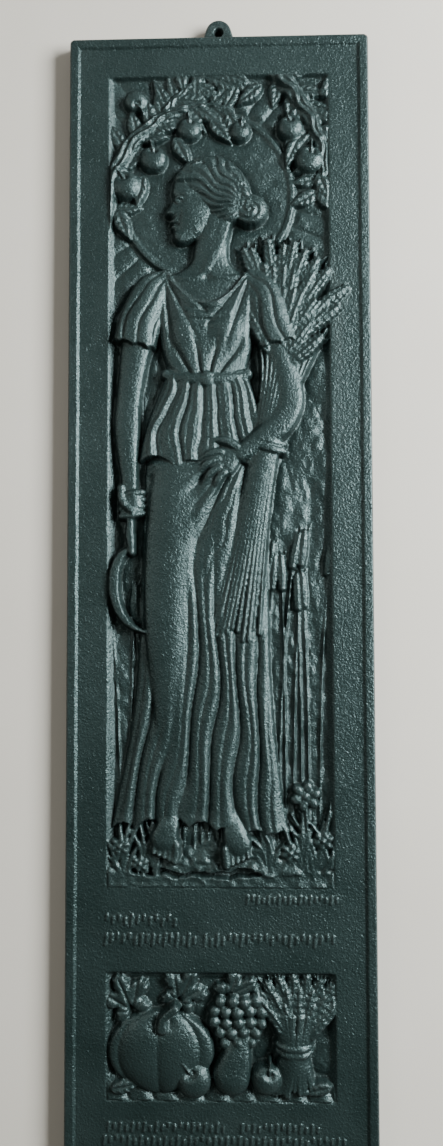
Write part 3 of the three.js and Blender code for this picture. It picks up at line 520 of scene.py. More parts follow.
# The cloth's rows are y, left, right, edge height and rise, and a limb's are x, y, radius and edge
# height, with x from her middle line.
GOWN = (
    (34, -63, 52, 2.4, 3.6), (60, -58, 48, 2, 4.6), (100, -50, 43.5, 1.8, 5.5),
    (150, -45, 40.5, 1.8, 6.2), (210, -43, 40, 2, 6.4), (262, -41, 40, 2.2, 6.6),
    (300, -38, 36, 2.2, 6.4), (336, -28, 27, 2.2, 5.6),
)
LEG = (  # the forward thigh, knee and shin under the cloth
    (-18, 286, 15, 2.8), (-21, 250, 17, 4.4), (-24, 218, 16.6, 5.2), (-27, 172, 14, 6.4),
    (-25, 128, 11.5, 5.2), (-22, 80, 9, 3.6), (-21, 40, 8, 2.6),
)
PEPLUM = (  # the fold of the gown over the hips
    (264, -46, 45, 3.8, 4.8), (282, -44, 43, 3.8, 5), (300, -39.5, 38.5, 3.6, 5.4),
    (318, -33, 32, 3.4, 5.4), (333, -27, 26.5, 3.2, 5.4),
)
SKIN = (  # throat and shoulders
    (366, -30, 30, 2.6, 5.2), (384, -38, 38, 2.6, 5), (394, -36, 36, 2.4, 4.4),
    (400, -25, 26, 2.2, 4.2), (405, -15, 18, 2.4, 4.4), (411, -10, 14.5, 2.8, 4.8),
    (420, -8.5, 14, 3.2, 5.2), (430, -6, 16, 3.4, 5.2), (440, -4, 18, 3.4, 5),
)
BODICE = (
    (322, -29, 28, 2.8, 5.6), (336, -26.5, 26, 3, 5.6), (352, -30.5, 30, 3, 6.4),
    (370, -34.5, 34, 3, 6.6), (386, -37, 36.5, 3, 5.8), (396, -33, 33, 3, 5.2), (402, -27, 27, 3, 5),
)
BELT = (
    (-27, 333.5, 3.6, 5.4), (-14, 330.4, 3.6, 8.8), (0, 329.4, 3.6, 9.6), (14, 330.4, 3.6, 8.8),
    (26.5, 333.5, 3.6, 5.4),
)
GATHERED = (MIDDLE + 30, 292)  # where the cloth is held up against the sheaf


def skirt(f):
    def fold(s, X, Y):
        down = unit((300 - Y) / 260)
        wander = 0.018 * np.sin(Y / 31) + 0.012 * np.sin(Y / 13 + 12 * s)
        q = s + (wander + 0.02 * noise(X, Y * 0.35, 16, 21)) * (0.4 + down)
        hanging = pleat(6.5 * q + 0.15) * (0.35 + 0.65 * down) * 3.6
        hanging += pleat(13 * q + 0.4) * 1.2 * (1 - 0.45 * down)
        x, y = GATHERED
        r, turn = polar(X - x, Y - y)
        drawn = 3.4 * pleat(turn * 2.9 + 0.1 * np.sin(r / 15))
        drawn += 0.8 * pleat(turn * 7 + 0.3 * noise(X, Y, 15, 22))
        share = 1 - ease(55, 150, r)
        return hanging * (1 - share) + drawn * share * ease(8, 42, r) - 2.2

    def hem(s):
        return 35 + 5 * wave(6.5 * s + 0.15) + 4 * np.sin(s * 5)

    leg = Relief(f.xs, f.ys, f.height)
    leg.limb(LEG, 10, HER, join=0, flat=0.4, even=True)

    def over_leg(part, h):
        under = leg.heights[part]
        return np.where(under > 0.1, soft_max(h, under, 2.6), h) - 4 * ease(272, 281, f.Y[part])

    f.sheath(MIDDLE, GOWN, fold=fold, keep=lambda s, X, Y: Y > hem(s), also=over_leg)


def bodice(f):
    def pleats(X, Y, x, y, count, phase):
        return pleat((polar(X - x, Y - y)[1] * count + phase) / pi)

    def neck(X):
        return 381 + 20 * unit(np.abs(X - MIDDLE) / 25) ** 2.2

    def fold(s, X, Y):
        out = np.abs(X - MIDDLE)
        left, right = (pleats(X, Y, MIDDLE + x, 402, 9, phase) for x, phase in ((-29, 0.3), (29, 1)))
        pinned = np.where(X < MIDDLE, left, right)
        drawn_in = pleats(X, Y, MIDDLE, 318, 8.5, 0.2 + 0.4 * noise(X, Y, 14, 3))
        upper = ease(342, 366, Y)
        cloth = pinned * upper * (0.4 + 0.6 * unit(out / 20)) + drawn_in * (1 - upper) * 0.9
        cowl = wave(np.hypot((X - MIDDLE) / 1.15, Y - 404) / 2.3 / pi, 0.8) * np.exp(-(out / 13) ** 2)
        hem = 0.7 * np.exp(-((Y - neck(X) + 1.2) / 0.9) ** 2)
        return 2.3 * cloth - 1.0 + 1.6 * cowl * ease(358, 372, Y) + hem

    def breasts(part, h):
        for side in (-1, 1):
            x, y = f.X[part] - MIDDLE - side * 14.5, f.Y[part] - 362
            h = h + 3 * np.exp(-((x / 11) ** 2 + (y / 11) ** 2))
        return h

    def shown(s, X, Y):
        return (Y < neck(X)) & (Y > 324)

    f.sheath(MIDDLE, BODICE, lift=0.5, fold=fold, keep=shown, also=breasts)


def peplum(f):
    def fold(s, X, Y):
        q = s + 0.02 * np.sin(Y / 9) + 0.035 * noise(X, Y, 14, 8)
        return 2.2 * pleat(6.5 * q) + 0.6 * pleat(17 * q) - 1.4

    def hem(s):
        return 270 + 5 * wave(3.75 * s) + 12 * np.abs(s - 0.5) ** 1.2

    f.sheath(MIDDLE, PEPLUM, lift=0.8, fold=fold, keep=lambda s, X, Y: Y > hem(s))
    f.limb(BELT, 6, HER, flat=0.4)
    f.dome(MIDDLE, 329.4, 5.4, 5.4, 9.8, 2)
    f.groove([(MIDDLE - 25, 334.2, 0.5), (MIDDLE, 330.8, 0.5), (MIDDLE + 25, 334.2, 0.5)], 0.5)


def throat(f):
    f.sheath(MIDDLE, SKIN)
    f.limb([(12, 434, 4, 6), (7, 419, 3.8, 6.2), (-1, 403, 2.8, 5.4)], 8, HER, join=2.4, flat=0.4)
    for side in (-1, 1):
        bone = [(side * 3, 399.5, 2, 5.2), (side * 13, 397.5, 2, 5.2), (side * 25, 399.5, 1.8, 4)]
        f.limb(bone, 6, HER, join=2, flat=0.6)
    f.bump(MIDDLE, 398, 3, 3.5, -0.9)


def feet(f):
    for x, y, side, edge in ((MIDDLE - 24, 34, -1, 6.2), (MIDDLE + 15, 31, 1, 5.8)):
        low = edge - 0.6
        foot = [(-side, 16, 5.6, edge - 3), (side * 1.5, 6, 7, low), (side * 4, -2.5, 9, low)]
        f.limb(foot, 5, (x, y), join=0.3, flat=0.5, even=True)
        for i, r in enumerate((3.1, 2.5, 2.3, 2.1, 1.9)):
            toe = x + side * (4 + (i - 2) * 3.4)
            end = y - 16 + 1.3 * i
            f.limb([(toe - side, y - 6, r, edge + 0.4), (toe, end, r, edge)], flat=0.9, join=0.15)
            f.dome(toe, end - r * 0.3, r * 0.45, r * 0.4, edge + r * 0.85, 0.4, join=0.1)


SICKLE_ARM = (
    (-38, 384, 11.5, 3.2), (-43, 370, 11.6, 3.6), (-47, 352, 10.2, 3.6), (-50, 332, 8.8, 3.4),
    (-52, 316, 8.3, 3.4), (-53, 300, 8.8, 3.4), (-52.5, 284, 7.6, 3.4), (-51.5, 266, 5.7, 3.4),
    (-51, 257, 5.6, 3.6),
)
FIST = (MIDDLE - 50.5, 246)
BLADE_TURN = 3.3


def sickle_arm(f):
    x, y = FIST
    t = np.linspace(0, BLADE_TURN, 30)
    share = t / BLADE_TURN
    blade = np.c_[x + 1 - 13 * np.sin(t * 0.95) + 12 * share ** 3, y - 28 - 27 * (1 - np.cos(t * 0.95)),
                  0.6 + 3.2 * np.sin(pi * (0.12 + 0.86 * share)), 5.4 + 3.4 * share ** 2]
    f.limb(blade, flat=0.35, join=0.1)
    handle = [(1, 15, 3.2, 4.2), (0, -8, 3, 5.2), (0, -20, 3.4, 5.6), (1, -30, 2.4, 5.8)]
    f.limb(handle, at=FIST, flat=0.8)
    f.limb(SICKLE_ARM, 8, HER, join=0.4, flat=0.62, even=True)
    f.dome(x, y + 2, 8.4, 10.5, 4.6, 4.4, join=0.5)
    finger = [(7.6, 1.4, 2.5, 5), (1, 0, 2.9, 6.8), (-5.8, -0.8, 2.5, 5.4)]
    for i in range(4):
        f.limb(finger, 4, (x, y + 8 - i * 4.5), join=0.1, flat=0.75)
    thumb = [(-6, 12, 3, 5.4), (-5, 4, 2.9, 7.4), (1, -3, 2.4, 8)]
    f.limb(thumb, 4, FIST, join=0.15, flat=0.8)


UPPER_ARM = (
    (37, 384, 11.5, 3.2), (43, 368, 11.6, 3.6), (49, 346, 10.2, 4.4), (53.5, 326, 9.2, 5.4),
    (54, 314, 9.4, 6.4),
)
FOREARM = (
    (52, 330, 8.8, 6.4), (54, 316, 9.6, 6.6), (50, 304, 9.6, 7), (41, 294, 8.8, 7.6),
    (29, 285, 6.8, 8.4), (22, 280.5, 5.6, 9),
)
HAND = (MIDDLE + 12, 275)


def forearm(f):
    """Her forearm across the sheaf, with the hand on its tie."""
    x, y = HAND
    f.limb(FOREARM, 8, HER, join=0.4, flat=0.55, even=True)
    palm = [(x + 13, y + 11), (x + 4, y + 10.5), (x - 5, y + 8), (x - 8, y + 1), (x - 5, y - 8),
            (x + 4, y - 9), (x + 10, y)]
    f.puff(spline(palm, 5, closed=True), 8.4, 3.4, 8, join=0.3)
    for i, (out, length) in enumerate(((0, 14), (-1.4, 16), (-0.6, 15), (1.8, 12))):
        angle = radians(188 + i * 14)
        ox, oy, half = x - 3 + out, y + 6 - i * 4.6, length / 2
        mx, my = ox + cos(angle) * half, oy + sin(angle) * half
        tip = (mx + cos(angle + 0.35) * half, my + sin(angle + 0.35) * half, 2.2, 8.4)
        f.limb([(ox, oy, 2.9, 10), (mx, my, 2.7, 10.2), tip], 5, join=0.12, flat=0.8)
    thumb = [(8, 8.5, 3.2, 10), (1, 13, 2.9, 10.4), (-6, 14, 2.3, 9.6)]
    f.limb(thumb, 5, HAND, join=0.15, flat=0.7)


def sleeve(f, side):
    """A short sleeve, gathered at the shoulder."""
    rows = [(side * 30, 396, 7.5, 4.4), (side * 36.5, 389, 12, 4.2), (side * 42.5, 374, 14.2, 4.6),
            (side * 46, 362, 14.4, 5), (side * 49, 351, 14.4, 5)]

    def cloth(across, along, X, Y):
        gathers = pleat((across * 4.6 + 0.6 * np.sin(along * 7) + 0.4) / pi)
        return 2.2 * gathers * (0.35 + 0.65 * along) - 1.0

    def above_hem(X, Y):
        return Y > 352 + 0.22 * side * (X - MIDDLE - side * 47) + 1.8 * wave((X - MIDDLE) / 3.1 / pi)

    f.limb(rows, 8, HER, join=0.3, flat=0.52, texture=cloth, even=True, keep=above_hem)


TIE = (31, 287)  # where the sheaf is bound
STALKS = ((8, 168, 15, 2.6), (20, 230, 10.5, 4.6), (*TIE, 8.5, 6.2), (41, 328, 13, 4.6), (48, 356, 19, 3))
EARS = ((9, 80, 2.8), (10, 62, 4.4), (9, 45, 6), (6, 30, 7))  # count, distance out, height, back to front


def sheaf(f):
    x, y = TIE
    f.limb(STALKS, 8, join=0.4, flat=0.3)
    for i, t in fan(11):
        deep = 1 - t * t
        stalk = [(8 + t * 19, 168 - 5 * deep + 12 * (chance(15, i) - 0.5), 1.5, 4.8 + 2.8 * deep),
                 (20 + t * 11.5, 230, 1.35, 6.2 + 3.2 * deep), (x + t * 9.4, y, 1.2, 6.6 + 3.4 * deep),
                 (42 + t * 15, 334, 1.35, 5.6 + 3.2 * deep),
                 (48 + t * 25, 362 + 6 * deep, 1.35, 4.2 + 3 * deep)]
        f.limb(stalk, 8, join=0)
    for count, distance, lift in EARS:
        for i, t in fan(count):
            n = i + 20 * count + distance
            angle = radians(78) - t * radians(36) + 0.12 * (chance(12, n) - 0.5)
            out = 320 + sin(angle) * distance * 0.95 + 6 * (chance(13, n) - 0.5)
            across = 38 + cos(angle) * distance * 0.42
            edge = lift + 1.2 * (1 - t * t) + lap(across + 12)
            wheat_ear(f, across, out, angle - 0.12 * t, 28, edge, 1.12)
    for level, lift in ((3.2, 0), (-1.6, 0.2)):
        band = [(-11, 3.4, 2.4, 6.6), (-4, -0.4, 2.4, 10.6 + lift), (4, -2.6, 2.4, 10.6 + lift),
                (11, -4, 2.4, 6.6)]
        f.limb(band, 5, (x, y + level), join=0.1, flat=0.5)


def lap(x):
    """How much higher a form lies where it laps over the frame."""
    return 2.2 * ease(48, 78, x)


SUN_Y = 455
SUN_RADIUS = 60


def background(f):
    part, X, Y = f.strip(f.height)
    r, turn = polar(X - MIDDLE, Y - SUN_Y)
    disc = 1.2 * (1 - ease(SUN_RADIUS - 2.2, SUN_RADIUS, r))
    disc += 0.9 * (1 - ease(1.2, 3.2, np.abs(r - SUN_RADIUS + 3)))
    rays = 1.4 * wave(turn * 17 / pi, 0.6) * ease(SUN_RADIUS, SUN_RADIUS + 5, r) * (1 - ease(150, 260, r))
    low = 1 - ease(300, 420, Y)
    streaks = 0.55 * noise(X, Y * 0.35, 6, 71) + 0.35 * noise(X, Y * 0.5, 2.6, 72)
    streaks += 0.8 * noise(X, Y * 0.5, 15, 73)
    f.add(part, disc + rays + low * streaks + 0.3 * noise(X, Y, 7, 1) + 0.16 * noise(X, Y, 3, 2))


def ground(f):
    """A bank of earth, and below it a dark cleft over a low ledge."""
    part, X, Y = f.strip(60)
    rough = 0.8 * noise(X, Y, 8, 12) + 0.6 * noise(X, Y, 3.4, 13) + 0.3 * noise(X * 0.6, Y, 1.8, 14)
    line = 27 + 5 * np.sin((X + 20) / 24) + 2.2 * noise(X, 0 * Y, 9, 7)
    ledge = 8 + 1.6 * np.sin((X - 30) / 21) + 1.4 * noise(X, 0 * Y, 6, 9)
    gap = 4.2 + 1.8 * np.sin(X / 13) + 1.2 * noise(X, 0 * Y, 6, 8)
    gap = gap * (1 - ease(28, 50, np.abs(X + 16))) - 0.6
    soil = 4.8 * np.sqrt(unit((line - Y) / 20)) + rough
    f.put(part, soil, (Y < line) & (Y > ledge + gap), 0.3)
    f.put(part, 4.4 + 0.6 * rough, Y < ledge, 0.3)


def tall_relief(f):
    for draw in (background, standing_wheat, boughs, ground, feet, skirt, throat, bodice, peplum):
        draw(f)
    sickle_arm(f)
    f.limb(UPPER_ARM, 8, HER, join=0.4, flat=0.6, even=True)
    sleeve(f, -1)
    sleeve(f, 1)
    face(f)
    hair(f)
    f.over = True  # the ears lap over the frame
    sheaf(f)
    f.over = False
    forearm(f)
    meadow(f)


# ---- the low field: fruit and a sheaf on a cloth ----
def pumpkin(f, x, y, rx, ry, edge, rise):
    def ribs(u, v):
        around = np.arcsin(np.clip(u / np.sqrt(np.clip(1 - v * v, 0.05, 1)), -1, 1))
        return 1.5 * wave((around * 3.6 + 0.2) / pi, 0.6) - 1.1

    f.dome(x, y, rx, ry, edge, rise, join=0.3, texture=ribs)
    f.bump(x + 1, y + ry * 0.7, rx * 0.28, ry * 0.15, -1.8)
    top = edge + rise * 0.8
    stalk = [(1, ry * 0.62, 3.8, top), (2, ry * 0.88, 2.7, top), (9, ry * 1.08, 3.2, top)]
    f.limb(stalk, 6, (x, y), join=0.3, flat=0.8)


def grapes(f, x, y, r, edge):
    for row, count in enumerate((4, 5, 5, 4, 3, 2, 1)):
        for i in range(count):
            place = i - (count - 1) / 2
            lift = edge + 2.6 * (1 - abs(place / max(1, count / 2)))
            px = x + place * r * 1.72 + 0.5 * sin(row * 3 + i)
            f.dome(px, y - row * r * 1.45 + 0.6 * sin(i * 2.3 + row), r, r, lift, r * 0.8, join=0.1)


def vine_leaf(f, x, y, size, angle, edge):
    t = np.linspace(0, 2 * pi, 90, endpoint=False)
    lobes = 0.52 + 0.42 * np.abs(np.cos(2.5 * t)) ** 1.2 + 0.045 * np.cos(25 * t)
    r = size * lobes * (1 - 0.45 * np.exp(-((t - pi) / 0.3) ** 2))
    foot = (x - size * 0.45 * cos(angle), y - size * 0.45 * sin(angle))

    def veins(X, Y):
        out, turn = polar(X - foot[0], Y - foot[1])
        h = 0.5 - 0.8 * np.abs(np.sin(2.5 * (turn - angle))) ** 2 * unit(out / size)
        for vein in (-1.2, -0.6, 0, 0.6, 1.2):
            aside = turn - angle - vein
            h -= 0.8 * np.exp(-(out * np.sin(aside) / 0.8) ** 2) * (np.cos(aside) > 0)
        return h

    outline = np.c_[x + r * np.cos(t + angle), y + r * np.sin(t + angle)]
    f.puff(outline, edge, 2.4, size * 0.22, 0.15, veins)


def standing_sheaf(f, x):
    """A small sheaf on its end: straws, a tie, and the ears fanned out over it."""
    for i, t in fan(17):
        deep = 1 - t * t
        sway = 3 * (chance(17, i) - 0.5)
        straw = [(x - 3 + t * 17 + sway, 4 + 4 * chance(18, i), 1.3, 2.6 + 3.4 * deep),
                 (x - 1 + t * 11, 22, 1.3, 3.6 + 4.4 * deep), (x + t * 9.5, 33, 1.25, 4 + 4.6 * deep),
                 (x + 2 + t * 17 - sway, 54, 1.3, 3.4 + 3.6 * deep)]
        f.limb(straw, 8, join=0, flat=1.2)
    for count, distance, lift in ((8, 24, 2.4), (7, 15, 4), (5, 7, 5.2)):
        for _, t in fan(count):
            angle = radians(88) - t * radians(42)
            foot = (x + 2 + cos(angle) * distance, 33 + sin(angle) * distance)
            wheat_ear(f, *foot, angle - 0.1 * t, 22, lift, 1.05)
    tie = [(-11, 1.6, 2.2, 4.4), (-5, -0.6, 2.2, 8.6), (5, -0.8, 2.2, 8.6), (10.5, 1.2, 2.2, 4.4)]
    for level in (31.5, 35.5):
        f.limb(tie, 5, (x, level), join=0.1, flat=0.6)


def table_cloth(f):
    part, X, Y = f.strip(30)
    hem = 14 + 3 * np.sin(X / 17)
    swag = 2.2 * pleat(9 * (X / (2 * FIELD_SIDE) + 0.5) + 0.25 * np.sin(Y / 9))
    f.put(part, 2.6 + swag * unit((hem - Y) / 8), Y < hem, 0.5)


PEAR = ((7, 17, 12.5, 4.4), (10, 28, 9.2, 4.8), (13, 37, 5.6, 5), (14, 42, 4.2, 5))


def low_relief(f):
    part, X, Y = f.strip(f.height)
    rough = 0.5 * noise(X, Y * 0.5, 7, 41) + 0.3 * noise(X, Y, 3, 42)
    f.add(part, rough + 0.9 * noise(X * 0.5, Y, 11, 43))
    table_cloth(f)
    vine_leaf(f, -60, 63, 18, 2, 2)
    vine_leaf(f, -24, 68, 17, 1.1, 1.8)
    vine_leaf(f, 10, 68, 16, 0.5, 1.8)
    standing_sheaf(f, 47)
    pumpkin(f, -38, 31, 34, 26, 2.8, 8.6)
    grapes(f, 11, 62, 4.3, 3)
    f.limb(PEAR, 8, join=0.3, flat=0.62, even=True)
    f.limb([(14, 44, 0.9, 6.8), (18, 50, 0.8, 6.8)])
    apple(f, -17, 14, 11.5, 5, 1.9)
    apple(f, 29, 15, 10, 5.4, 1.2)
    leaf(f, -71, 8, 0.1, 21, 9.5, 5.4, 0.1)
    leaf(f, 71, 11, 3.3, 19, 9, 5.2, 0.12)


# ---- the frame ----
ROWS = (  # rows of shallow strokes: level, height, start, end and step
    (-569.8, 6.8, 14, 74.6, 6.7), (-583.4, 9.4, -77, -29, 8), (-595.3, 9.4, -77.4, -16.5, 7.6),
    (-595.3, 9.4, -13.8, 72.2, 7.8), (-711.9, 7.2, -75.4, 1.8, 7.7), (-711.9, 7.2, 9.6, 61.6, 7.4),
    (-720.2, 7.4, -78, 78.2, 7.8),
)


def inset_from(X, Y, side, top, height, corner):
    """How far inside a rounded rectangle each point lies."""
    u = np.abs(X) - side + corner
    v = np.abs(Y - (top - height / 2)) - height / 2 + corner
    outside = np.hypot(np.maximum(u, 0), np.maximum(v, 0)) + np.minimum(np.maximum(u, v), 0)
    return corner - outside


def frame_heights(X, Y):
    """Rim, face and the sunk fields, with the slightly wavy edges of a sand casting."""
    wavy = 0.16 * noise(X, Y, 23, 51) + 0.1 * noise(X, Y, 7, 52)
    edge = inset_from(X, Y, WIDTH / 2, 0, HEIGHT, CORNER)
    h = RIM_HEIGHT - (RIM_HEIGHT - FACE) * ease(RIM_WIDTH - RIM_SLOPE, RIM_WIDTH, edge + wavy)
    h -= ROUNDING - np.sqrt(ROUNDING ** 2 - np.clip(ROUNDING - edge, 0, ROUNDING) ** 2)
    for top, height in (TALL_FIELD, LOW_FIELD):
        inset = inset_from(X, Y, FIELD_SIDE, top, height, FIELD_CORNER) + wavy
        near_top = ease(SIDE_LEAN, 0, top - Y) * ease(0, SIDE_LEAN, FIELD_SIDE - np.abs(X))
        lean = SIDE_LEAN + (TOP_LEAN - SIDE_LEAN) * near_top
        sunk = (FACE - FLOOR) / lean * 0.5 * (inset + np.sqrt(inset ** 2 + WALL_SOFTNESS))
        h -= np.minimum(sunk, FACE - FLOOR + UNDERCUT)
    return h


def add_strokes(X, Y, h):
    """Pairs of strokes along each row: a tall or a short one, then a middling one."""
    radius = STROKE["width"] / 2
    for row, (level, size, start, end, step) in enumerate(ROWS):
        for i in range(int((end - start) / step)):
            n = i + 40 * row
            x = start + (i + 0.5) * step
            tall = size * (0.55 if chance(14, n) < 0.3 else 1)
            first = (x, level + (size - tall) / 2, tall)
            second = (x + step / 2, level + size * 0.3 * (chance(16, n) - 0.5), size * 0.66)
            for sx, sy, length in (first, second):
                u = np.abs(X - sx - STROKE["lean"] * (Y - sy)) / radius
                v = (np.abs(Y - sy) - length / 2) / radius + 1
                h += STROKE["rise"] * (1 - ease(0.45, 1.15, np.hypot(u, np.maximum(v, 0))))


def grid_lines(start, end):
    return np.linspace(start, end, round((end - start) / CELL) + 1)


def front():
    """The grid's x and y, and the casting's front as heights over it."""
    xs = grid_lines(-WIDTH / 2, WIDTH / 2)
    ys = grid_lines(-HEIGHT, 0)
    X, Y = np.meshgrid(xs, ys)
    h = frame_heights(X, Y)
    add_strokes(X, Y, h)
    for (top, height), draw in ((TALL_FIELD, tall_relief), (LOW_FIELD, low_relief)):
        foot = top - height
        rows = np.flatnonzero((ys > foot - 2) & (ys < top + 2))
        relief = Relief(xs, ys[rows] - foot, height)
        draw(relief)
        heights = blur(relief.heights, SOFTENED)
        stands_out = heights - blur(heights, CUT_IN["reach"])
        heights += CUT_IN["share"] * np.clip(stands_out, CUT_IN["down"], CUT_IN["up"])
        h[rows] = soft_max(h[rows], FLOOR + RELIEF * heights, 0.3)
    limit, soft = HIGHEST - ROUNDED_OFF["below"], ROUNDED_OFF["over"]
    return X, Y, np.where(h > limit - soft, limit - soft + soft * np.tanh((h - limit + soft) / soft), h)


# ---- the casting's mesh ----
def round_corners(X, Y):
    """Bends the grid's square corners to the slab's rounded ones."""
    u = np.maximum(np.abs(X) - WIDTH / 2 + CORNER, 0)
    v = np.maximum(np.abs(Y + HEIGHT / 2) - HEIGHT / 2 + CORNER, 0)
    share = np.maximum(u, v) / np.maximum(np.hypot(u, v), 1e-9)
    pull = np.where((u > 0) & (v > 0), 1 - share, 0)
    return X - np.sign(X) * u * pull, Y - np.sign(Y + HEIGHT / 2) * v * pull


def mesh_from(name, corners, faces):
    """A mesh from points in x, y and height."""
    mesh = bpy.data.meshes.new(name)
    corners = np.asarray(corners, float)
    mesh.from_pydata(np.c_[corners[:, 0], -corners[:, 2], corners[:, 1]] * MM, [], faces)
    mesh.validate()
    mesh.update()
    return mesh


def casting_mesh():
    X, Y, h = front()
    X, Y = round_corners(X, Y)
    rows, columns = X.shape
    at = np.arange(rows * columns).reshape(rows, columns)
    quads = np.dstack([at[:-1, :-1], at[:-1, 1:], at[1:, 1:], at[1:, :-1]]).reshape(-1, 4)
    ring = np.r_[at[0, :-1], at[:-1, -1], at[-1, :0:-1], at[:0:-1, 0]]
    points = np.c_[X.ravel(), Y.ravel(), h.ravel()]
    middle = np.array([0, -HEIGHT / 2])
    rim = points[ring, :2]
    back = middle + (rim - middle) * (1 - CHAMFER / np.array([WIDTH / 2, HEIGHT / 2]))
    count, size = len(points), len(ring)
    points = np.r_[points, np.c_[rim, np.full(size, CHAMFER)], np.c_[back, np.zeros(size)]]
    loops = (ring, np.arange(count, count + size), np.arange(count + size, count + 2 * size))
    walls = [np.c_[a, np.roll(a, -1), np.roll(b, -1), b][:, ::-1] for a, b in zip(loops, loops[1:])]
    faces = np.r_[quads, *walls].tolist()
    return mesh_from("casting", points, [*faces, loops[-1][::-1].tolist()])


LUG_FOOT = 10.4  # half its width there
LUG_RADIUS = 8.6
LUG_THICK = 8.4
LUG_ROOT = 3.0  # how far it reaches down into the slab
HOLE_RADIUS = 3.0
HOLE = (0, 3.9)
STEPS = 12  # along each of its sides


def lug_outline():
    """An arch on two sides that lean in from its foot, down into the slab."""
    centre = LUG_TOP - LUG_RADIUS
    start = math.atan2(-centre, LUG_FOOT) + math.acos(LUG_RADIUS / math.hypot(LUG_FOOT, centre))
    turn = np.linspace(start, pi - start, 3 * STEPS)
    arch = np.c_[LUG_RADIUS * np.cos(turn), centre + LUG_RADIUS * np.sin(turn)]
    lean = (LUG_FOOT - arch[0, 0]) / arch[0, 1]
    y = np.linspace(-LUG_ROOT, arch[0, 1], STEPS, endpoint=False)
    side = np.c_[LUG_FOOT - lean * y, y]
    x = np.linspace(-side[0, 0], side[0, 0], STEPS, endpoint=False)[1:]
    return np.r_[side, arch, (side * [-1, 1])[::-1], np.c_[x, np.full(STEPS - 1, -LUG_ROOT)]]


def lug_mesh():
    outline = lug_outline()
    ahead = np.roll(outline, -1, 0) - np.roll(outline, 1, 0)
    inwards = np.c_[-ahead[:, 1], ahead[:, 0]] / np.hypot(*ahead.T)[:, None]
    around = outline - HOLE
    around /= np.hypot(*around.T)[:, None]
    thick, hole, size = LUG_THICK, HOLE_RADIUS, len(outline)
    edge = ((0, 0), (0, thick - 1.6), (0.3, thick - 0.7), (0.9, thick - 0.15), (1.7, thick))
    bore = ((hole + 0.8, thick), (hole + 0.3, thick - 0.25), (hole, thick - 0.9), (hole, 0))
    rings = [(outline + inwards * inset, level) for inset, level in edge]
    rings += [(around * radius + HOLE, level) for radius, level in bore]
    count = len(rings)
    faces = []
    for k in range(count):
        a = np.arange(size) + k * size
        b = np.arange(size) + (k + 1) % count * size
        faces += np.c_[a, np.roll(a, -1), np.roll(b, -1), b].tolist()
    points = [np.c_[ring, np.full(size, level)] for ring, level in rings]
    return mesh_from("lug", np.concatenate(points), faces)


def made_object(name, mesh):
    made = bpy.data.objects.new(name, mesh)
    bpy.context.scene.collection.objects.link(made)
    return made


def modify(piece, kind, **settings):
    modifier = piece.modifiers.new(kind.lower(), kind)
    for key, value in settings.items():
        setattr(modifier, key, value)


def apply_modifiers(piece):
    shaped = piece.evaluated_get(bpy.context.evaluated_depsgraph_get())
    mesh = bpy.data.meshes.new_from_object(shaped)
    piece.modifiers.clear()
    piece.data = mesh


def read(items, name, width, kind=float):
    values = np.empty(len(items) * width, kind)
    items.foreach_get(name, values)
    return values.reshape(-1, width)


def mark_wear(mesh):
    """Gives each point how far it stands out from its neighbours, for the worn paint on edges."""
    count = len(mesh.vertices)
    co, normal = read(mesh.vertices, "co", 3), read(mesh.vertex_normals, "vector", 3)
    ends = read(mesh.edges, "vertices", 2, int)
    here, there = np.r_[ends, ends[:, ::-1]].T
    away = co[there] - co[here]
    away /= np.maximum(np.linalg.norm(away, axis=1), 1e-9)[:, None]
    neighbours = np.maximum(np.bincount(here, minlength=count), 1)
    stands_out = np.bincount(here, -(away * normal[here]).sum(1), count) / neighbours
    for _ in range(2):
        around = np.bincount(here, stands_out[there], count) / neighbours
        stands_out = 0.5 * (stands_out + around)
    wear = mesh.attributes.new("wear", "FLOAT", "POINT")
    wear.data.foreach_set("value", np.clip(stands_out, -0.5, 0.5).astype(np.float32))


def make_casting():
    casting = made_object("plaque_casting", casting_mesh())
    lug = made_object("hanging_lug", lug_mesh())
    triangles = sum(len(p.vertices) - 2 for p in casting.data.polygons)
    modify(casting, "DECIMATE", ratio=TRIANGLES / triangles)
    modify(casting, "BOOLEAN", operation="UNION", solver="MANIFOLD", object=lug)
    apply_modifiers(casting)
    bpy.data.objects.remove(lug)
    casting.data.shade_smooth()
    casting.data.set_sharp_from_angle(angle=radians(SHARP_ANGLE))
    modify(casting, "WEIGHTED_NORMAL", keep_sharp=True)
    apply_modifiers(casting)
    mark_wear(casting.data)
    return casting


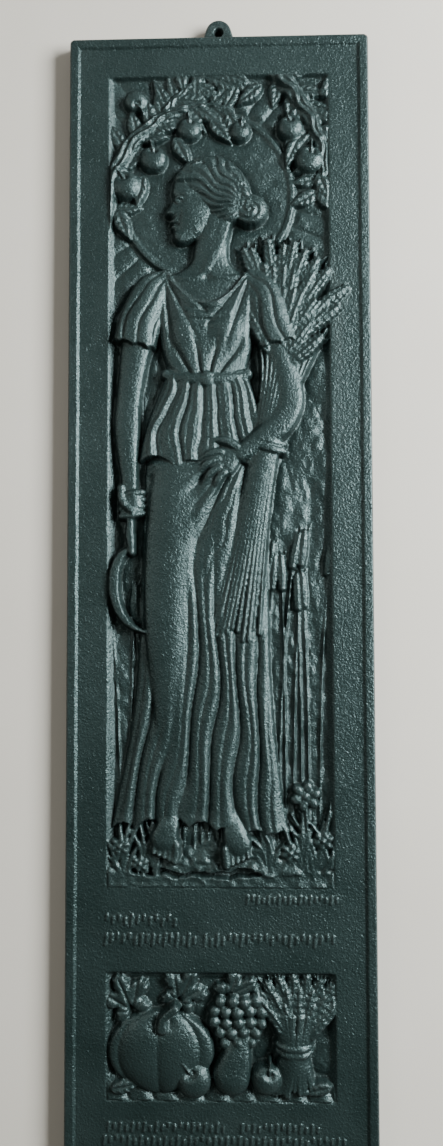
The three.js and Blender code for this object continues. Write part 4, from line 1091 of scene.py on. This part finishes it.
# ---- material ----
class Nodes:
    """Adds and links the nodes of one material."""

    def __init__(self, name):
        self.material = bpy.data.materials.new(name)
        self.material.use_nodes = True
        self.tree = self.material.node_tree
        self.shader = self.tree.nodes["Principled BSDF"]

    def add(self, kind, values=(), **settings):
        node = self.tree.nodes.new(kind)
        for key, value in settings.items():
            setattr(node, key, value)
        for socket, value in dict(values).items():
            self.put(node.inputs[socket], value)
        return node

    def put(self, socket, value):
        if isinstance(value, bpy.types.NodeSocket):
            self.tree.links.new(value, socket)
        else:
            socket.default_value = value

    def shade(self, name, value):
        self.put(self.shader.inputs[name], value)

    def noise(self, scale, detail, roughness=0.55):
        where = self.add("ShaderNodeTexCoord").outputs["Object"]
        values = {"Vector": where, "Scale": scale, "Detail": detail, "Roughness": roughness}
        return self.add("ShaderNodeTexNoise", values).outputs["Fac"]

    def remap(self, value, low, high, to_low=0.0, to_high=1.0):
        values = {"Value": value, "From Min": low, "From Max": high, "To Min": to_low, "To Max": to_high}
        return self.add("ShaderNodeMapRange", values).outputs["Result"]

    def times(self, a, b):
        return self.add("ShaderNodeMath", {0: a, 1: b}, operation="MULTIPLY").outputs[0]

    def plus(self, a, b):
        return self.add("ShaderNodeMath", {0: a, 1: b}, operation="ADD").outputs[0]

    def mix(self, share, a, b):
        node = self.add("ShaderNodeMix", data_type="RGBA")
        for name, value in (("Factor", share), ("A", a), ("B", b)):
            socket = [s for s in node.inputs if s.name == name and s.enabled][0]
            self.put(socket, value)
        return [s for s in node.outputs if s.enabled][0]


def painted_iron():
    """Satin black-green paint over a sand casting: a fine pebbled skin, rubbed thin on the edges."""
    n = Nodes("black_iron")
    wear = n.add("ShaderNodeAttribute", attribute_name="wear").outputs["Fac"]
    broken = n.noise(420, 4, 0.7)
    rubbed = n.times(n.remap(wear, 0.04, 0.22), n.remap(broken, 0.38, 0.62))
    hollow = n.remap(wear, -0.03, -0.2)
    cloudy = n.remap(n.noise(30, 4), 0.35, 0.65)
    paint = n.mix(cloudy, (0.006, 0.012, 0.0112, 1), (0.01, 0.0175, 0.0165, 1))
    dusty = n.mix(n.times(hollow, 0.35), paint, (0.03, 0.033, 0.03, 1))
    worn = n.mix(n.times(rubbed, 0.5), dusty, (0.06, 0.068, 0.066, 1))
    n.shade("Base Color", worn)
    rough = n.remap(n.noise(900, 3, 0.6), 0.3, 0.7, 0.24, 0.38)
    n.shade("Roughness", n.plus(rough, n.times(hollow, 0.12)))
    n.shade("IOR", 1.52)
    n.shade("Specular Tint", (0.74, 1.0, 0.98, 1))
    pebbles = n.times(n.noise(700, 2, 0.5), 0.85)
    grain = n.times(n.noise(1700, 2, 0.6), 0.45)
    lumps = n.times(n.noise(190, 2, 0.5), 0.6)
    specks = n.remap(n.noise(640, 2, 0.5), 0.55, 0.77, 0.0, 0.32)
    skin = n.plus(n.plus(pebbles, grain), n.plus(lumps, specks))
    bump = n.add("ShaderNodeBump", {"Height": skin, "Strength": 1.0, "Distance": 0.0005})
    n.shade("Normal", bump.outputs["Normal"])
    return n.material


def pale_wall():
    """The plain wall behind. It is seen from its front only, so that other views show the back."""
    n = Nodes("pale_wall")
    tint = n.mix(n.remap(n.noise(6, 3), 0.3, 0.7), (0.47, 0.435, 0.375, 1), (0.50, 0.465, 0.405, 1))
    n.shade("Base Color", tint)
    n.shade("Roughness", 0.9)
    behind = n.add("ShaderNodeNewGeometry").outputs["Backfacing"]
    clear = n.add("ShaderNodeBsdfTransparent")
    shown = n.add("ShaderNodeMixShader", {0: behind, 1: n.shader.outputs[0], 2: clear.outputs[0]})
    n.put(n.tree.nodes["Material Output"].inputs["Surface"], shown.outputs[0])
    return n.material


# ---- stage, lights and camera ----
def make_wall():
    """Behind the plaque it is open, which the plaque hides, so that light reaches the plaque's back."""
    far, gap, inset = 6000, 0.4, 1.0

    def corners(x, bottom, top):
        return [(-x, bottom, -gap), (x, bottom, -gap), (x, top, -gap), (-x, top, -gap)]

    points = corners(far, -far, far) + corners(WIDTH / 2 - inset, inset - HEIGHT, -inset)
    faces = [(i, (i + 1) % 4, 4 + (i + 1) % 4, 4 + i) for i in range(4)]
    wall = made_object("wall", mesh_from("wall", points, faces))
    wall.data.materials.append(pale_wall())


def make_light(name, place, aim, size, power, colour):
    data = bpy.data.lights.new(name, "AREA")
    data.shape = "RECTANGLE"
    data.size, data.size_y = size
    data.energy = power
    data.color = colour
    light = made_object(name, data)
    light.location = place
    direction = Vector(aim) - Vector(place)
    light.rotation_euler = direction.to_track_quat("-Z", "Y").to_euler()


def make_lights():
    """A window far to the right, softer lights above and to the left, and one for the back."""
    daylight = (0.92, 0.97, 1.0)
    make_light("window", (1.05, -0.68, 0.0), (0, 0, -0.36), (0.5, 0.9), 82, daylight)
    make_light("skylight", (0.1, -0.65, 0.95), (0, 0, -0.15), (1.0, 0.4), 2.2, daylight)
    make_light("room", (-1.3, -1.2, 0.1), (0, 0, -0.4), (1.0, 1.0), 10, (1.0, 0.98, 0.95))
    make_light("rear", (0.9, 1.0, 0.6), (0, 0, -0.4), (1.2, 1.2), 60, (0.95, 0.98, 1.0))
    world = bpy.data.worlds.new("studio")
    world.use_nodes = True
    inputs = world.node_tree.nodes["Background"].inputs
    inputs["Color"].default_value = (0.96, 0.98, 0.9, 1)
    inputs["Strength"].default_value = 0.133
    bpy.context.scene.world = world


def make_camera():
    """In front of the plaque's middle and a little to its right, square to it within a few degrees."""
    data = bpy.data.cameras.new("camera")
    data.sensor_width = 24
    data.lens = 18.01
    camera = made_object("camera", data)
    camera.location = (0.0172, -0.5689, -0.3866)
    camera.rotation_euler = [radians(a) for a in (92.69, 0.14, 1.64)]
    bpy.context.scene.camera = camera


casting = make_casting()
casting.data.materials.clear()
casting.data.materials.append(painted_iron())
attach(casting, "root")
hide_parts("plaque")
make_wall()
make_lights()
make_camera()
